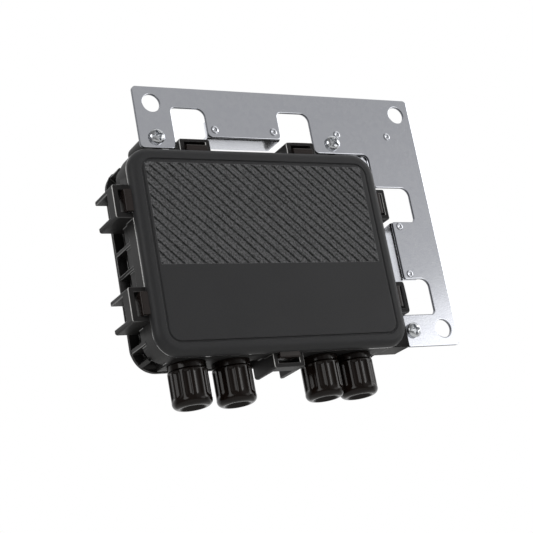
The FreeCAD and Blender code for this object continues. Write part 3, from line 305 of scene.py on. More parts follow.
CASE = np.array([-24.1, 0.0, -79.4])       # the case's middle, on the plane of the sheet's back
HALF_WIDTH, HALF_HEIGHT, CASE_CORNER = 70.4, 52.5, 12.0
GLAND_X, GLAND_Y = [-49.2, -25.4, 24.3, 44.3], 8.3
O_RING, O_RING_WIRE, O_RING_DEPTH = 8.35, 0.64, -0.65
SLEEVE_TOP, SLEEVE_END, SLEEVE_BORE, SLEEVE_RIB, SLEEVE_RIBS = -6.6, -12.9, 3.3, 0.25, 6
# The gasket's section as (inset, depth), with two sealing beads on its front
BEADS = [(2.75, -1.6), (2.75, -4.0), (3.05, -4.25), (3.35, -4.3), (3.7, -4.15), (4.3, -4.15), (4.65, -4.3),
         (4.95, -4.25), (5.25, -4.0), (5.25, -1.6)]


def grid_faces(rows, columns, wrap_rows=False, wrap_columns=False, start=0):
    """The quads of a grid of rows by columns, closed in either direction where wrapped."""
    r = np.arange(rows if wrap_rows else rows - 1)
    c = np.arange(columns if wrap_columns else columns - 1)
    r, c = np.meshgrid(r, c, indexing="ij")
    r_next = (r + 1) % rows
    c_next = (c + 1) % columns
    quads = np.stack([r * columns + c, r * columns + c_next, r_next * columns + c_next,
                      r_next * columns + c], axis=-1)
    return (quads.reshape(-1, 4) + start).tolist()


def end_caps(rows, columns):
    """The first and the last row of a grid, each as one face."""
    return [list(range(columns)), list(range((rows - 1) * columns, rows * columns))]


def build_mesh(name, points_mm, faces, sharp_degrees=35.0):
    """A mesh from points in millimetres, doubles merged, smooth but for its sharp edges."""
    mesh = bpy.data.meshes.new(name)
    mesh.from_pydata((np.asarray(points_mm) / 1000.0).tolist(), [], faces)
    work = bmesh.new()
    work.from_mesh(mesh)
    bmesh.ops.remove_doubles(work, verts=work.verts, dist=1e-6)
    bmesh.ops.dissolve_degenerate(work, edges=work.edges, dist=1e-7)
    bmesh.ops.recalc_face_normals(work, faces=work.faces)
    work.to_mesh(mesh)
    work.free()
    mesh.shade_smooth()
    mesh.set_sharp_from_angle(angle=math.radians(sharp_degrees))
    return mesh


def link_form(name, form, materials, replaced, body="housing", sharp_degrees=35.0):
    """Builds the mesh of a form, which is (points, faces), and puts it in the scene."""
    return link_piece(name, build_mesh(name, *form, sharp_degrees), materials, replaced, body)


def moved(form, spot, lying=False):
    """A form carried to a spot. Lying turns its axis from up to depth first."""
    points, faces = form
    return (points[:, [0, 2, 1]] if lying else points) + np.asarray(spot), faces


def gather(forms):
    """Joins several forms into one."""
    faces = []
    total = 0
    for points, these in forms:
        faces += [[i + total for i in face] for face in these]
        total += len(points)
    return np.concatenate([points for points, these in forms]), faces


def corner_loop(corners, inset, steps=10):
    """A closed outline of level and upright sides with round corners, moved inwards.

    Corners are (across, up, radius), anticlockwise. A left turn's arc keeps its centre
    and loses the inset from its radius, a right turn's arc gains it. Each arc's point
    is centre plus radius times (n1 cos t + n2 sin t), n1 and n2 being the sides' normals.
    """
    count = len(corners)
    t = np.linspace(0, np.pi / 2, steps)[:, None]
    loop = []
    for k in range(count):
        spot = np.array(corners[k][:2])
        way_in = spot - np.array(corners[k - 1][:2])
        way_out = np.array(corners[(k + 1) % count][:2]) - spot
        n1 = np.array([way_in[1], -way_in[0]]) / np.linalg.norm(way_in)
        n2 = np.array([way_out[1], -way_out[0]]) / np.linalg.norm(way_out)
        side = 1.0 if way_in[0] * way_out[1] - way_in[1] * way_out[0] > 0 else -1.0
        centre = spot - side * corners[k][2] * (n1 + n2)
        radius = corners[k][2] - side * inset
        loop.append(centre + side * radius * (n1 * np.cos(t) + n2 * np.sin(t)))
    return np.concatenate(loop)


def box_corners(left, low, right, high, radius):
    """An upright rectangle as corners for corner_loop."""
    return [(right, low, radius), (right, high, radius), (left, high, radius), (left, low, radius)]


def stacked(loops, depths):
    """Loops of (across, up) set at their depths, as one grid of points, a row for each loop."""
    return np.concatenate([np.column_stack([loop[:, 0], np.full(len(loop), depth), loop[:, 1]])
                           for loop, depth in zip(loops, depths)])


def lathe(profile, columns, change=None):
    """A ring-shaped solid: a closed profile of (radius, height) turned once round.

    A point is (r cos a, r sin a, height). A change may alter r by height and angle.
    """
    r, z = np.array(profile, float).T[..., None] + np.zeros(columns)
    a = np.linspace(0, 2 * np.pi, columns + 1)[:-1] + np.zeros((len(profile), 1))
    if change is not None:
        r = change(r, z, a)
    points = np.stack([r * np.cos(a), r * np.sin(a), z], axis=-1).reshape(-1, 3)
    return points, grid_faces(len(profile), columns, True, True)


def round_wire(radius, sides):
    """A wire's round section about its own middle, as (out, up)."""
    t = np.radians(np.linspace(0, 360, sides + 1)[:-1])
    return np.column_stack([radius * np.cos(t), radius * np.sin(t)])


# Moulded rubber: the flattest black here, with hardly any gloss
rubber = moulded_plastic("black_moulded_rubber", "#171717", 0.68, 0.6, 0.006, 0.3)
case_outline = box_corners(-HALF_WIDTH, -HALF_HEIGHT, HALF_WIDTH, HALF_HEIGHT, CASE_CORNER)
rings = [corner_loop(case_outline, inset, 16) for inset, depth in BEADS]
gasket = (stacked(rings, [depth for inset, depth in BEADS]),
          grid_faces(len(rings), len(rings[0]), True, True))
link_form("rim_gasket", moved(gasket, CASE), [rubber], "lid_gasket", sharp_degrees=50.0)
for number, x in enumerate(GLAND_X, start=1):
    spot = CASE + [x, GLAND_Y, -HALF_HEIGHT]
    ring = lathe(round_wire(O_RING_WIRE, 16) + [O_RING, O_RING_DEPTH], 64)
    link_form("o_ring_%d" % number, moved(ring, spot), [rubber], "gland_o_ring_%d" % number,
              sharp_degrees=80.0)
    # Soft ribs inside the sleeve, which close on the cable: its bore less a squared cosine
    height = np.linspace(SLEEVE_END, SLEEVE_TOP, 37)
    wave = (height - SLEEVE_TOP) / (SLEEVE_TOP - SLEEVE_END) * SLEEVE_RIBS * np.pi
    bore = SLEEVE_BORE - SLEEVE_RIB * np.cos(wave) ** 2
    sleeve = lathe([(6.1, -6.7), (6.1, -12.8), (5.9, -13.0), (3.5, -13.0), *zip(bore, height),
                    (3.5, -6.5), (5.9, -6.5)], 48)
    link_form("cable_sleeve_%d" % number, moved(sleeve, spot), [rubber],
              "gland_seal_%d" % number, sharp_degrees=50.0)


# LID
# The snap-on cover, one moulding of charcoal polycarbonate: a rounded front edge, a fine
# frame line, slanted grooves over the upper part, and seven spring tongues.

LID_FRONT = -8.9
EDGE_ROUND = 4.0
FIELD_LEFT, FIELD_RIGHT, FIELD_TOP, FIELD_BOTTOM = -62.2, 61.0, 44.3, -8.0
FIELD_CORNER = 5.3
GROOVE_PITCH, GROOVE_WIDTH, GROOVE_DEPTH = 4.1, 1.2, 1.0
FAINT_DEPTH = 0.16
FOOT_FRONT, FOOT_BACK = -4.95, -3.99
# The frame line as (inset, depth behind the front), a 0.6 mm groove with soft sides
FRAME_LINE = [(7.8, 0.0), (7.3, 0.0), (7.12, 0.05), (6.98, 0.25), (6.9, 0.5), (6.75, 0.6), (6.35, 0.6),
              (6.2, 0.5), (6.12, 0.25), (5.98, 0.05), (5.8, 0.0), (5.3, 0.0), (4.3, 0.0)]
# Wall's foot, rib over the gasket, rib inside the rim and the underside, as (inset, depth)
INSIDE = [(0.0, -4.3), (0.09, -4.09), (0.3, -4.0), (2.1, -4.0), (2.31, -4.09), (2.4, -4.3), (2.4, -6.5),
          (3.3, -6.5), (3.3, -4.8), (3.5, -4.6), (4.5, -4.6), (4.7, -4.8), (4.7, -6.5), (8.3, -6.5),
          (8.3, -1.7), (8.5, -1.5), (9.6, -1.5), (9.8, -1.7), (9.8, -6.5), (10.4, -6.5)]
# Each latch: its side, its place along that side, and how far out its tongue stands
TONGUES = [("top", -30.6, 3.3), ("top", 30.6, 3.3), ("left", 25.7, 3.7), ("left", -25.7, 3.7),
           ("right", 25.7, 2.3), ("right", -25.7, 2.3), ("bottom", 0.0, 2.6)]
TONGUE_HALF = 5.6


def ease(x):
    """Smooth step: 0 below 0, 1 above 1, and 3x2 - 2x3 between."""
    x = np.clip(x, 0.0, 1.0)
    return x * x * (3 - 2 * x)


def fill_flat(rings, numbers):
    """Triangles over a flat region: its outline, then its holes, and their points' numbers."""
    index = np.concatenate(numbers)
    flat = [[Vector((x, z, 0)) for x, z in ring] for ring in rings]
    return [[int(index[i]) for i in triangle] for triangle in tessellate_polygon(flat)]


def of_faces(mesh, what):
    """The center or the normal of each face, as rows."""
    values = np.zeros(len(mesh.polygons) * 3)
    mesh.polygons.foreach_get(what, values)
    return values.reshape(-1, 3)


def groove_field():
    """The grooved part of the front, as a grid of slanted lines clipped to the field.

    A line is fixed by q = (x + z) / sqrt 2 from the field's middle and runs along
    w = (x - z) / sqrt 2. Its ends are where it leaves the rectangle or the corner
    arcs. Depth is a soft-sided trough in q about each whole pitch, a faint line
    midway between two, and eases to nothing at both ends.
    """
    half_x = (FIELD_RIGHT - FIELD_LEFT) / 2
    half_z = (FIELD_TOP - FIELD_BOTTOM) / 2
    root = math.sqrt(2.0)
    corner_q = (half_x + half_z - 2 * FIELD_CORNER) / root
    low_q = -(half_x + half_z) / root
    high_q = corner_q + FIELD_CORNER
    offsets = np.array([-0.85, -0.7, -0.58, -0.46, -0.3, 0.3, 0.46, 0.58, 0.7, 0.85, 1.2, 1.8, 1.9, 2.05,
                        2.2, 2.3, 2.9])
    count = int((half_x + half_z) / root / GROOVE_PITCH) + 2
    q = (np.arange(-count, count + 1)[:, None] * GROOVE_PITCH + offsets).ravel()
    bends = [(half_x - half_z) / root, (half_z - half_x) / root, corner_q]
    q = np.unique(np.round(np.concatenate([q, bends, [low_q + 0.05, high_q - 0.02]]), 4))
    q = q[(q >= low_q + 0.04) & (q <= high_q - 0.01)]
    start = np.maximum(-root * half_x - q, q - root * half_z)
    end = np.minimum(root * half_x - q, q + root * half_z)
    for side in (-1, 1):
        centre_x = side * (half_x - FIELD_CORNER)
        centre_z = half_z - FIELD_CORNER
        cq = (centre_x + centre_z) / root
        cw = (centre_x - centre_z) / root
        reach = np.sqrt(np.maximum(FIELD_CORNER ** 2 - (q - cq) ** 2, 0.0))
        for which, sign in ((start, -1), (end, 1)):
            x = (q + which) / root
            z = (q - which) / root
            inside = (x * side > centre_x * side) & (z > centre_z) & (np.abs(q - cq) < FIELD_CORNER)
            which[inside] = (cw + sign * reach)[inside]
    span = end - start
    from_end = np.array([0.0, 0.15, 0.35, 0.55, 0.75, 0.95])
    share = np.minimum(1.0, span / 2.4)[:, None] * from_end
    middle = np.linspace(0, 1, 9)[1:-1] * (span - 1.9 * np.minimum(1.0, span / 2.4))[:, None]
    steps = np.concatenate([share, share[:, -1:] + middle, span[:, None] - share[:, ::-1]], axis=1)
    w = start[:, None] + steps
    x = (q[:, None] + w) / root
    z = (q[:, None] - w) / root
    near = np.minimum(steps, span[:, None] - steps)
    off = np.abs((q + GROOVE_PITCH / 2) % GROOVE_PITCH - GROOVE_PITCH / 2)
    trough = 1 - ease((off - GROOVE_WIDTH / 2 + 0.16) / 0.32)
    faint = FAINT_DEPTH * (1 - ease((np.abs(off - GROOVE_PITCH / 2)) / 0.2))
    depth = (GROOVE_DEPTH * trough + faint)[:, None] * ease((near - 0.15) / 0.8)
    middle_x = (FIELD_LEFT + FIELD_RIGHT) / 2
    middle_z = (FIELD_TOP + FIELD_BOTTOM) / 2
    return np.stack([x + middle_x, np.full_like(x, LID_FRONT) + depth, z + middle_z], axis=-1)


def lid_form():
    """Joins the swept section, the grooved field, the flat between them and the underside.

    The section is the frame line, a quarter circle round the edge, the wall and the inside,
    each of its points an outline of the case at that inset and depth. The outline's corner
    loses 0.9 of the inset from its radius, which stays 1.2 mm or more.
    """
    t = np.radians(np.linspace(0, 90, 12))
    profile = [(inset, LID_FRONT + depth) for inset, depth in FRAME_LINE]
    profile += list(zip(EDGE_ROUND * (1 - np.sin(t)), LID_FRONT + EDGE_ROUND * (1 - np.cos(t)))) + INSIDE
    loops = [corner_loop(box_corners(inset - HALF_WIDTH, inset - HALF_HEIGHT, HALF_WIDTH - inset,
                                     HALF_HEIGHT - inset, max(CASE_CORNER - inset * 0.9, 1.2)), 0.0, 14)
             for inset, depth in profile]
    rows, columns = len(loops), len(loops[0])
    field = groove_field()
    start = rows * columns
    faces = grid_faces(rows, columns, wrap_columns=True)
    faces += grid_faces(field.shape[0], field.shape[1], start=start)
    edge = np.concatenate([field[:, 0], field[::-1, -1]])
    edge_index = np.arange(field.shape[0]) * field.shape[1] + start
    edge_index = np.concatenate([edge_index, edge_index[::-1] + field.shape[1] - 1])
    faces += fill_flat([loops[0], edge[:, [0, 2]]], [np.arange(columns), edge_index])
    faces.append(list(range((rows - 1) * columns, rows * columns)))
    return np.concatenate([stacked(loops, [depth for inset, depth in profile]), field.reshape(-1, 3)]), faces


def tongue(side, middle, outer):
    """A tongue's section carried along one side: off the lid's edge, a turn, the leg, the barb.

    The section runs (out, depth). At the top and bottom, out is up or down.
    """
    section = np.array([(-2.6, -6.1), (outer - 1.0, -6.1), (outer - 0.3, -5.8), (outer, -5.1),
                        (outer, 3.4), (outer + 1.83, 3.4), (outer + 1.83, 4.0), (outer - 0.3, 6.2),
                        (outer - 1.78, 6.2), (outer - 1.78, -3.9), (outer - 2.2, -4.3), (-2.6, -4.3)])
    level = side in ("top", "bottom")
    out = np.abs(section[:, 0] + (HALF_HEIGHT if level else HALF_WIDTH))
    out = out * (-1 if side in ("bottom", "left") else 1)
    rows = []
    for along in (middle - TONGUE_HALF, middle + TONGUE_HALF):
        fixed = np.full(len(section), along)
        rows.append(np.column_stack([fixed if level else out, section[:, 1], out if level else fixed]))
    return np.concatenate(rows), grid_faces(2, len(section), wrap_columns=True) + end_caps(2, len(section))


# Grained polycarbonate, even and dull, so that it shades softly from face to rounding
lid_plastic = moulded_plastic("charcoal_polycarbonate_lid", "#2C2C2D", 0.5, 0.6, 0.03, 0.3)
# Coarser spark erosion between the grooves: dry, speckled and paler
field_plastic = moulded_plastic("spark_eroded_field", "#515152", 0.55, 0.9, 0.2, 0.3, 0.5)
# A glossier strip at the wall's foot, where the mould closes, is painted lighter: a painted highlight that
# glints along the parting line
parting_strip_painted_highlight = moulded_plastic("polished_parting_edge_painted_highlight", "#5A5A5A", 0.16, 0.5, 0.001, 1.0)
cover = link_form("lid_cover", moved(lid_form(), CASE), [lid_plastic, field_plastic, parting_strip_painted_highlight],
                  "lid", "lid")
across, depth, up = (of_faces(cover.data, "center") * 1000 - CASE).T
in_field = (across > FIELD_LEFT) & (across < FIELD_RIGHT) & (up > FIELD_BOTTOM) & (up < FIELD_TOP) \
    & (depth < LID_FRONT + GROOVE_DEPTH + 0.1)
# The wall's foot, which takes the painted highlight: within 0.35 mm of a side, or outside a slant that cuts
# off each corner
across, up = np.abs(across), np.abs(up)
outermost = (across > HALF_WIDTH - 0.35) | (up > HALF_HEIGHT - 0.35) \
    | (across + up > HALF_WIDTH + HALF_HEIGHT - 7.6)
painted_highlight_at_foot = (depth > FOOT_FRONT) & (depth < FOOT_BACK) & outermost
cover.data.polygons.foreach_set("material_index", (in_field * 1 + painted_highlight_at_foot * 2).astype(np.int32))
# The tongues aren't grained: smoother than the lid, a little brown, with a low sheen
tongue_plastic = moulded_plastic("smooth_polycarbonate_tongues", "#241E1C", 0.26, 0.5, 0.002, 0.35)
tongues = link_form("lid_tongues", moved(gather([tongue(*spot) for spot in TONGUES]), CASE),
                    [tongue_plastic], "lid", "lid")
soften(tongues, 0.2)


# BRACKET SHEET
# A flat blank of galvanised steel, 1.5 mm thick, with punched holes and notches. The tool
# left darker sheared edges. Six pressed pips join it to the angles behind.

SHEET = 1.5
BOLT_RADIUS, SCREW_RADIUS = 4.85, 2.0
BOLTS = [(-73.6, 0.0), (73.6, 0.0), (73.6, -121.9)]
# Corners of the blank, anticlockwise from the top left: across, up and radius
BLANK = [(-83.0, 8.9, 2.2), (-83.0, -24.2, 2.2), (-63.7, -24.2, 2.2), (-63.7, -1.9, 2.5),
         (-44.6, -1.9, 4.6), (-44.6, -17.3, 2.5), (-2.5, -17.3, 2.5), (-2.5, -1.9, 2.5), (16.6, -1.9, 4.6),
         (16.6, -24.2, 2.5), (49.5, -24.2, 3.5), (49.5, -43.0, 1.25), (70.7, -43.0, 4.6), (70.7, -62.6, 2.5),
         (55.9, -62.6, 1.25), (55.9, -94.4, 1.25), (70.7, -94.4, 4.6), (70.7, -114.0, 2.5),
         (49.5, -114.0, 1.25), (49.5, -131.1, 1.25), (82.0, -131.1, 2.2), (82.0, 8.9, 2.2)]
# Screws: across, up and how far the cross is turned
SCREWS = [(-73.8, -18.5, 18.0), (28.2, -18.5, 50.0), (54.1, -122.5, 8.0)]
PIPS = [(-40.6, -13.3), (-6.5, -13.3), (32.2, -13.3), (64.2, -13.3), (59.9, -65.2), (59.9, -91.8)]
# A pip as (radius, depth): a round ring pressed forward about a dimple, its foot blended in
PIP = [(0.0, -1.52), (0.6, -1.52), (0.85, -1.6), (1.05, -1.76), (1.25, -1.82), (1.5, -1.8), (1.75, -1.7),
       (1.95, -1.58), (2.2, -1.49), (2.2, -1.3), (0.0, -1.3)]


def punched_plate(corners, holes, front, back):
    """A flat plate: rings round its outline and round each hole, and two filled faces.

    Every ring is the outline at an inset, or a circle of radius plus inset. The insets
    follow a section with a small rollover at the front and a smaller one at the back.
    """
    section = [(0.9, front), (0.5, front), (0.17, front), (0.05, front + 0.05), (0.0, front + 0.16),
               (0.0, back - 0.1), (0.03, back - 0.03), (0.1, back), (0.5, back), (0.9, back)]
    depths = [depth for inset, depth in section]
    contours = [[corner_loop(corners, inset) for inset, depth in section]]
    contours += [[round_wire(radius + inset, 48) + [x, z] for inset, depth in section]
                 for x, z, radius in holes]
    points = []
    faces = []
    starts = []
    for loops in contours:
        starts.append(sum(map(len, points)))
        points.append(stacked(loops, depths))
        faces += grid_faces(len(section), len(loops[0]), wrap_columns=True, start=starts[-1])
    for row in (0, len(section) - 1):
        faces += fill_flat([loops[row] for loops in contours],
                           [start + row * len(loops[0]) + np.arange(len(loops[0]))
                            for start, loops in zip(starts, contours)])
    return np.concatenate(points), faces


def galvanised_sheet(name, glossiest, dullest):
    """Zinc over rolled steel: faint crystals, a fine orange peel and a soft metal gloss.

    Crystals are 2.2 mm across. Rolling lines and peel are finer than the render shows, so
    they are drawn coarser: lines 0.25 mm apart and 12 mm long, and a peel of 0.6 mm that
    stands 8 microns proud.
    """
    material, tree = start_material(name)
    where = put_node(tree, "ShaderNodeTexCoord").outputs["Object"]
    crystals = put_node(tree, "ShaderNodeTexVoronoi", {"Scale": per_metre(2.2)}, {"Vector": where})
    spangle = put_node(tree, "ShaderNodeSeparateColor", {}, {0: crystals.outputs["Color"]})
    tone = put_node(tree, "ShaderNodeMix", {"data_type": "RGBA", 6: linear("#D5D7DE"), 7: linear("#D9DBE1")},
                    {0: spangle})
    drawn = put_node(tree, "ShaderNodeMapping",
                     {"Scale": (per_metre(12.0), per_metre(0.25), per_metre(0.25))}, {"Vector": where})
    lines = put_node(tree, "ShaderNodeTexNoise", {"Scale": 1.0, "Detail": 2.0}, {"Vector": drawn})
    gloss = put_node(tree, "ShaderNodeMapRange", {"To Min": glossiest, "To Max": dullest}, {"Value": lines})
    peel = put_node(tree, "ShaderNodeTexNoise", {"Scale": per_metre(0.6), "Detail": 2.0}, {"Vector": where})
    relief = put_node(tree, "ShaderNodeBump", {"Strength": 1.0, "Distance": 0.008 / 1000}, {"Height": peel})
    shader = put_node(tree, "ShaderNodeBsdfPrincipled", {"Metallic": 1.0},
                      {"Base Color": tone.outputs[2], "Roughness": gloss, "Normal": relief})
    put_node(tree, "ShaderNodeOutputMaterial", {}, {"Surface": shader})
    return material


def worn_metal(name, hex_colour, marks_mm, detail, low, high, glossiest, dullest):
    """Metal in one colour: cloudy marks, stretched between a low and a high, dull its gloss."""
    material, tree = start_material(name)
    where = put_node(tree, "ShaderNodeTexCoord").outputs["Object"]
    marks = put_node(tree, "ShaderNodeTexNoise", {"Scale": per_metre(marks_mm), "Detail": detail},
                     {"Vector": where})
    gloss = put_node(tree, "ShaderNodeMapRange", {"From Min": low, "From Max": high,
                                                  "To Min": glossiest, "To Max": dullest}, {"Value": marks})
    shader = put_node(tree, "ShaderNodeBsdfPrincipled", {"Metallic": 1.0, "Base Color": linear(hex_colour)},
                      {"Roughness": gloss})
    put_node(tree, "ShaderNodeOutputMaterial", {}, {"Surface": shader})
    return material


galvanised = galvanised_sheet("galvanised_rolled_sheet", 0.08, 0.14)
# The cut edge: a darker, duller line, torn more in some places than in others
sheared = worn_metal("sheared_steel_edge", "#7C7E84", 0.5, 3.0, 0.0, 1.0, 0.3, 0.55)
punched = [(x, z, BOLT_RADIUS) for x, z in BOLTS] + [(x, z, SCREW_RADIUS) for x, z, turned in SCREWS]
parts = [punched_plate(BLANK, punched, -SHEET, 0.0)]
parts += [moved(lathe(PIP, 40), (x, 0.0, z), lying=True) for x, z in PIPS]
sheet = link_form("bracket_sheet", gather(parts), [galvanised, sheared], "mounting_bracket")
# Faces that stand square to the sheet are cut edges
cut = np.abs(of_faces(sheet.data, "normal")[:, 1]) < 0.3
sheet.data.polygons.foreach_set("material_index", cut.astype(np.int32))


# BRACKET ANGLES
# Three pieces of the same sheet folded to an L: a leg clinched behind the blank and a lip
# that stands back over the case. One is bent round the case's corner.

LEG, LIP_BACK = 8.8, 13.5
CORNER_LEG, CORNER_LIP_BACK = 14.0, 10.0
RIGHT_CROWN, CORNER_CROWN = 0.9, 1.05
OUTER_BEND, INNER_BEND = 1.3, 0.7
# Where the lips run, as stations of (across, up, outward angle), the last one bent
TOP_PATH = [(-44.6, -17.3, 90), (-2.5, -17.3, 90)]
RIGHT_PATH = [(55.9, -94.4, 0), (55.9, -62.6, 0)]
BEND_X, BEND_Z, BEND_RADIUS = 46.0, -27.7, 3.5
CORNER_PATH = [(BEND_X + BEND_RADIUS * math.cos(a), BEND_Z + BEND_RADIUS * math.sin(a), math.degrees(a))
               for a in np.radians(np.linspace(90, 0, 13))]
CORNER_PATH = [(32.1, -24.2, 90)] + CORNER_PATH + [(49.5, -35.1, 0)]
# The foot that takes the middle screw: its corners as (across, up, radius)
FOOT = [(22.4, -22.0, 1.0), (32.6, -22.0, 1.0), (32.6, -10.2, 1.0), (22.4, -10.2, 1.0)]


def angle_strip(path, leg, back, crown=0.0):
    """An L section carried along a path of (across, up, outward angle) stations.

    The section is (away from the lip, depth): down the leg, round the outer bend, back
    along the lip, and inside again by the inner bend, each bend a quarter circle.
    A crown bows the lip away from the case: most at 0.62 of its depth, none at either end.
    """
    t = np.radians(np.linspace(0, 90, 9))
    outer = list(zip(OUTER_BEND * (1 - np.sin(t)), OUTER_BEND * (1 - np.cos(t))))
    inner = list(zip(SHEET + INNER_BEND * (1 - np.sin(t[::-1])), SHEET + INNER_BEND * (1 - np.cos(t[::-1]))))
    lip = np.linspace(OUTER_BEND, back - 0.12, 14)
    bow = crown * np.interp(lip, [OUTER_BEND, 0.62 * back, back - 0.12], [0.0, 1.0, 0.0])
    section = [(leg - 0.08, 0.0)] + outer + list(zip(bow, lip))[1:] + [(0.1, back), (SHEET - 0.1, back)]
    section += list(zip(SHEET + bow, lip))[:0:-1] + inner + [(leg - 0.08, SHEET), (leg, SHEET / 2)]
    section = np.array(section)
    rows = []
    for x, z, degrees in path:
        way = (math.cos(math.radians(degrees)), math.sin(math.radians(degrees)))
        rows.append(np.column_stack([x + section[:, 0] * way[0], section[:, 1], z + section[:, 0] * way[1]]))
    faces = grid_faces(len(rows), len(section), wrap_columns=True) + end_caps(len(rows), len(section))
    return np.concatenate(rows), faces


# Bending strains the zinc, which dulls it, so the lips shine evenly and mirror little
folded = galvanised_sheet("galvanised_folded_sheet", 0.16, 0.32)
link_form("angle_top", angle_strip(TOP_PATH, LEG, LIP_BACK), [folded], "bracket_angle_top")
link_form("angle_right", angle_strip(RIGHT_PATH, LEG, LIP_BACK, RIGHT_CROWN), [folded],
          "bracket_angle_right")
foot = punched_plate(FOOT, [(*SCREWS[1][:2], SCREW_RADIUS)], 0.0, SHEET)
corner = angle_strip(CORNER_PATH, CORNER_LEG, CORNER_LIP_BACK, CORNER_CROWN)
link_form("angle_corner", gather([corner, foot]), [folded], "bracket_angle_corner")


# BRACKET SCREWS
# Three zinc-plated pan-head machine screws with a cross recess, cold-headed from wire and
# driven into the housing's bosses.

# Head: radius, height, crown and its cross, which is half width, reach and depth
SCREW_HEAD = (4.0, 2.6, 0.5, (0.62, 3.05, 1.9))
SCREW_STEM = (1.95, 10.0)


def disc_grid(count):
    """Square grid points carried onto a disc: each square ring becomes a circle.

    A point (a, b) keeps m = max(|a|, |b|) as its radius, and its angle runs evenly
    along the ring, so the grid has no pole and no thin triangles.
    """
    a, b = np.meshgrid(np.linspace(-1, 1, count), np.linspace(-1, 1, count), indexing="ij")
    m = np.maximum(np.abs(a), np.abs(b))
    safe_a = np.where(a == 0, 1, a)
    safe_b = np.where(b == 0, 1, b)
    angle = np.where(np.abs(a) >= np.abs(b), np.pi / 4 * b / safe_a + np.where(a < 0, np.pi, 0),
                     np.pi / 2 - np.pi / 4 * a / safe_b + np.where(b < 0, np.pi, 0))
    return m * np.cos(angle), m * np.sin(angle)


def crossed_disc(radius, height, crown, cross, turn_degrees, count=72):
    """A disc whose top is a height field less a tapered cross, with its side and foot.

    Height falls by the crown's share times r^4 from the middle to the rim. The cross
    is the larger of two arms, each the product of a soft step across and one along.
    """
    half, reach, depth = cross
    x, z = disc_grid(count)
    top = height * (1 - crown * np.sqrt(x * x + z * z) ** 4)
    angle = math.radians(turn_degrees)
    u = radius * (x * math.cos(angle) + z * math.sin(angle))
    v = radius * (z * math.cos(angle) - x * math.sin(angle))
    arms = [ease((half * (1.25 - 0.5 * np.abs(a) / reach) - np.abs(b)) / 0.2 + 0.5)
            * ease((reach - np.abs(a)) / (reach * 0.4)) for a, b in ((u, v), (v, u))]
    top = top - depth * np.maximum(*arms)
    points = np.stack([radius * x, -top, radius * z], axis=-1).reshape(-1, 3)
    ring = np.concatenate([np.arange(count) * count, (count - 1) * count + np.arange(1, count),
                           np.arange(count - 2, -1, -1) * count + count - 1, np.arange(count - 2, 0, -1)])
    foot = np.arange(len(ring)) + len(points)
    side = np.column_stack([ring, np.roll(ring, -1), np.roll(foot, -1), foot]).tolist()
    return np.concatenate([points, points[ring] * np.array([1.0, 0.0, 1.0])]), \
        grid_faces(count, count) + side + [foot.tolist()]


def shank(radius, length, pitch=0.8, depth=0.2):
    """A screw's threaded shank: radius is a saw of the height less the turn, in pitches."""
    y, angle = np.meshgrid(np.linspace(0, length, int(length / pitch * 8) + 1),
                           np.linspace(0, 2 * np.pi, 25)[:-1], indexing="ij")
    wave = np.abs(((y / pitch - angle / (2 * np.pi)) % 1.0) * 2 - 1)
    taper = np.clip((length - y) / (radius * 0.8), 0.25, 1.0)
    r = (radius - depth * wave) * taper
    points = np.stack([r * np.cos(angle), y, r * np.sin(angle)], axis=-1)
    return points.reshape(-1, 3), grid_faces(*y.shape, wrap_columns=True) + end_caps(*y.shape)


def bright_metal(name, hex_colour, roughness, marks_mm=0.8):
    """Bright plated or drawn metal: nearly a mirror, with small handling marks that dull it."""
    return worn_metal(name, hex_colour, marks_mm, 4.0, 0.35, 0.65, roughness, roughness + 0.18)


def link_screws(name, spots, depth, head, stem, replaced):
    """Puts the same head and shank at every spot: across, up and how far the cross is turned."""
    parts = [moved(form, (x, depth, z)) for x, z, turned in spots
             for form in (crossed_disc(*head, turned), shank(*stem))]
    link_form(name, gather(parts), [zinc], replaced)


# Bright zinc: small sharp reflections in the head and the cross
zinc = bright_metal("bright_zinc_plate", "#D4D6D9", 0.14)
link_screws("pan_head_screws", SCREWS, -SHEET, SCREW_HEAD, SCREW_STEM, "bracket_screws")


# CABLE GLANDS
# Four nylon glands, moulded glossy black: a threaded stem with a collar in the housing, a
# plain pressure ring, and a domed nut with twelve flutes. Heights are from the case's wall.

NUT_RADIUS, DOME_ROUND, DOME_TOP = 9.8, 3.0, -18.1
THREAD_PITCH, THREAD_DEPTH = 1.5, 0.4
STEM_RADIUS, NUT_BORE = 7.6, 7.68
FLUTE_DEPTH, FLUTE_HALF_DEGREES = 0.7, 10.7
# From the bore's top: plug in the housing, O-ring's groove and collar, as (radius, height)
STEM = [(5.0, 7.4), (5.2, 7.5), (7.4, 7.5), (7.6, 7.3), (7.6, -1.4), (9.05, -1.4), (9.05, 0.0), (9.3, 0.0),
        (9.5, -0.2), (9.5, -3.0), (9.3, -3.2), (7.7, -3.2)]
STEM += [(STEM_RADIUS, z) for z in np.linspace(-3.6, -12.7, 61)]
STEM += [(7.3, -13.0), (6.2, -13.0), (6.15, -12.9), (6.15, -6.5), (5.0, -6.5)]
PRESSURE_RING = [(3.6, -13.45), (3.75, -13.3), (6.75, -13.3), (6.9, -13.45), (6.9, -14.9), (6.8, -15.0),
                 (5.6, -15.75), (5.4, -15.8), (3.75, -15.8), (3.6, -15.65)]


def thread(height, angle):
    """How deep a thread's flank lies: a rounded saw of height less turn, in pitches."""
    return THREAD_DEPTH * 0.5 * (1 - np.cos(2 * np.pi * (height / THREAD_PITCH + angle / (2 * np.pi))))


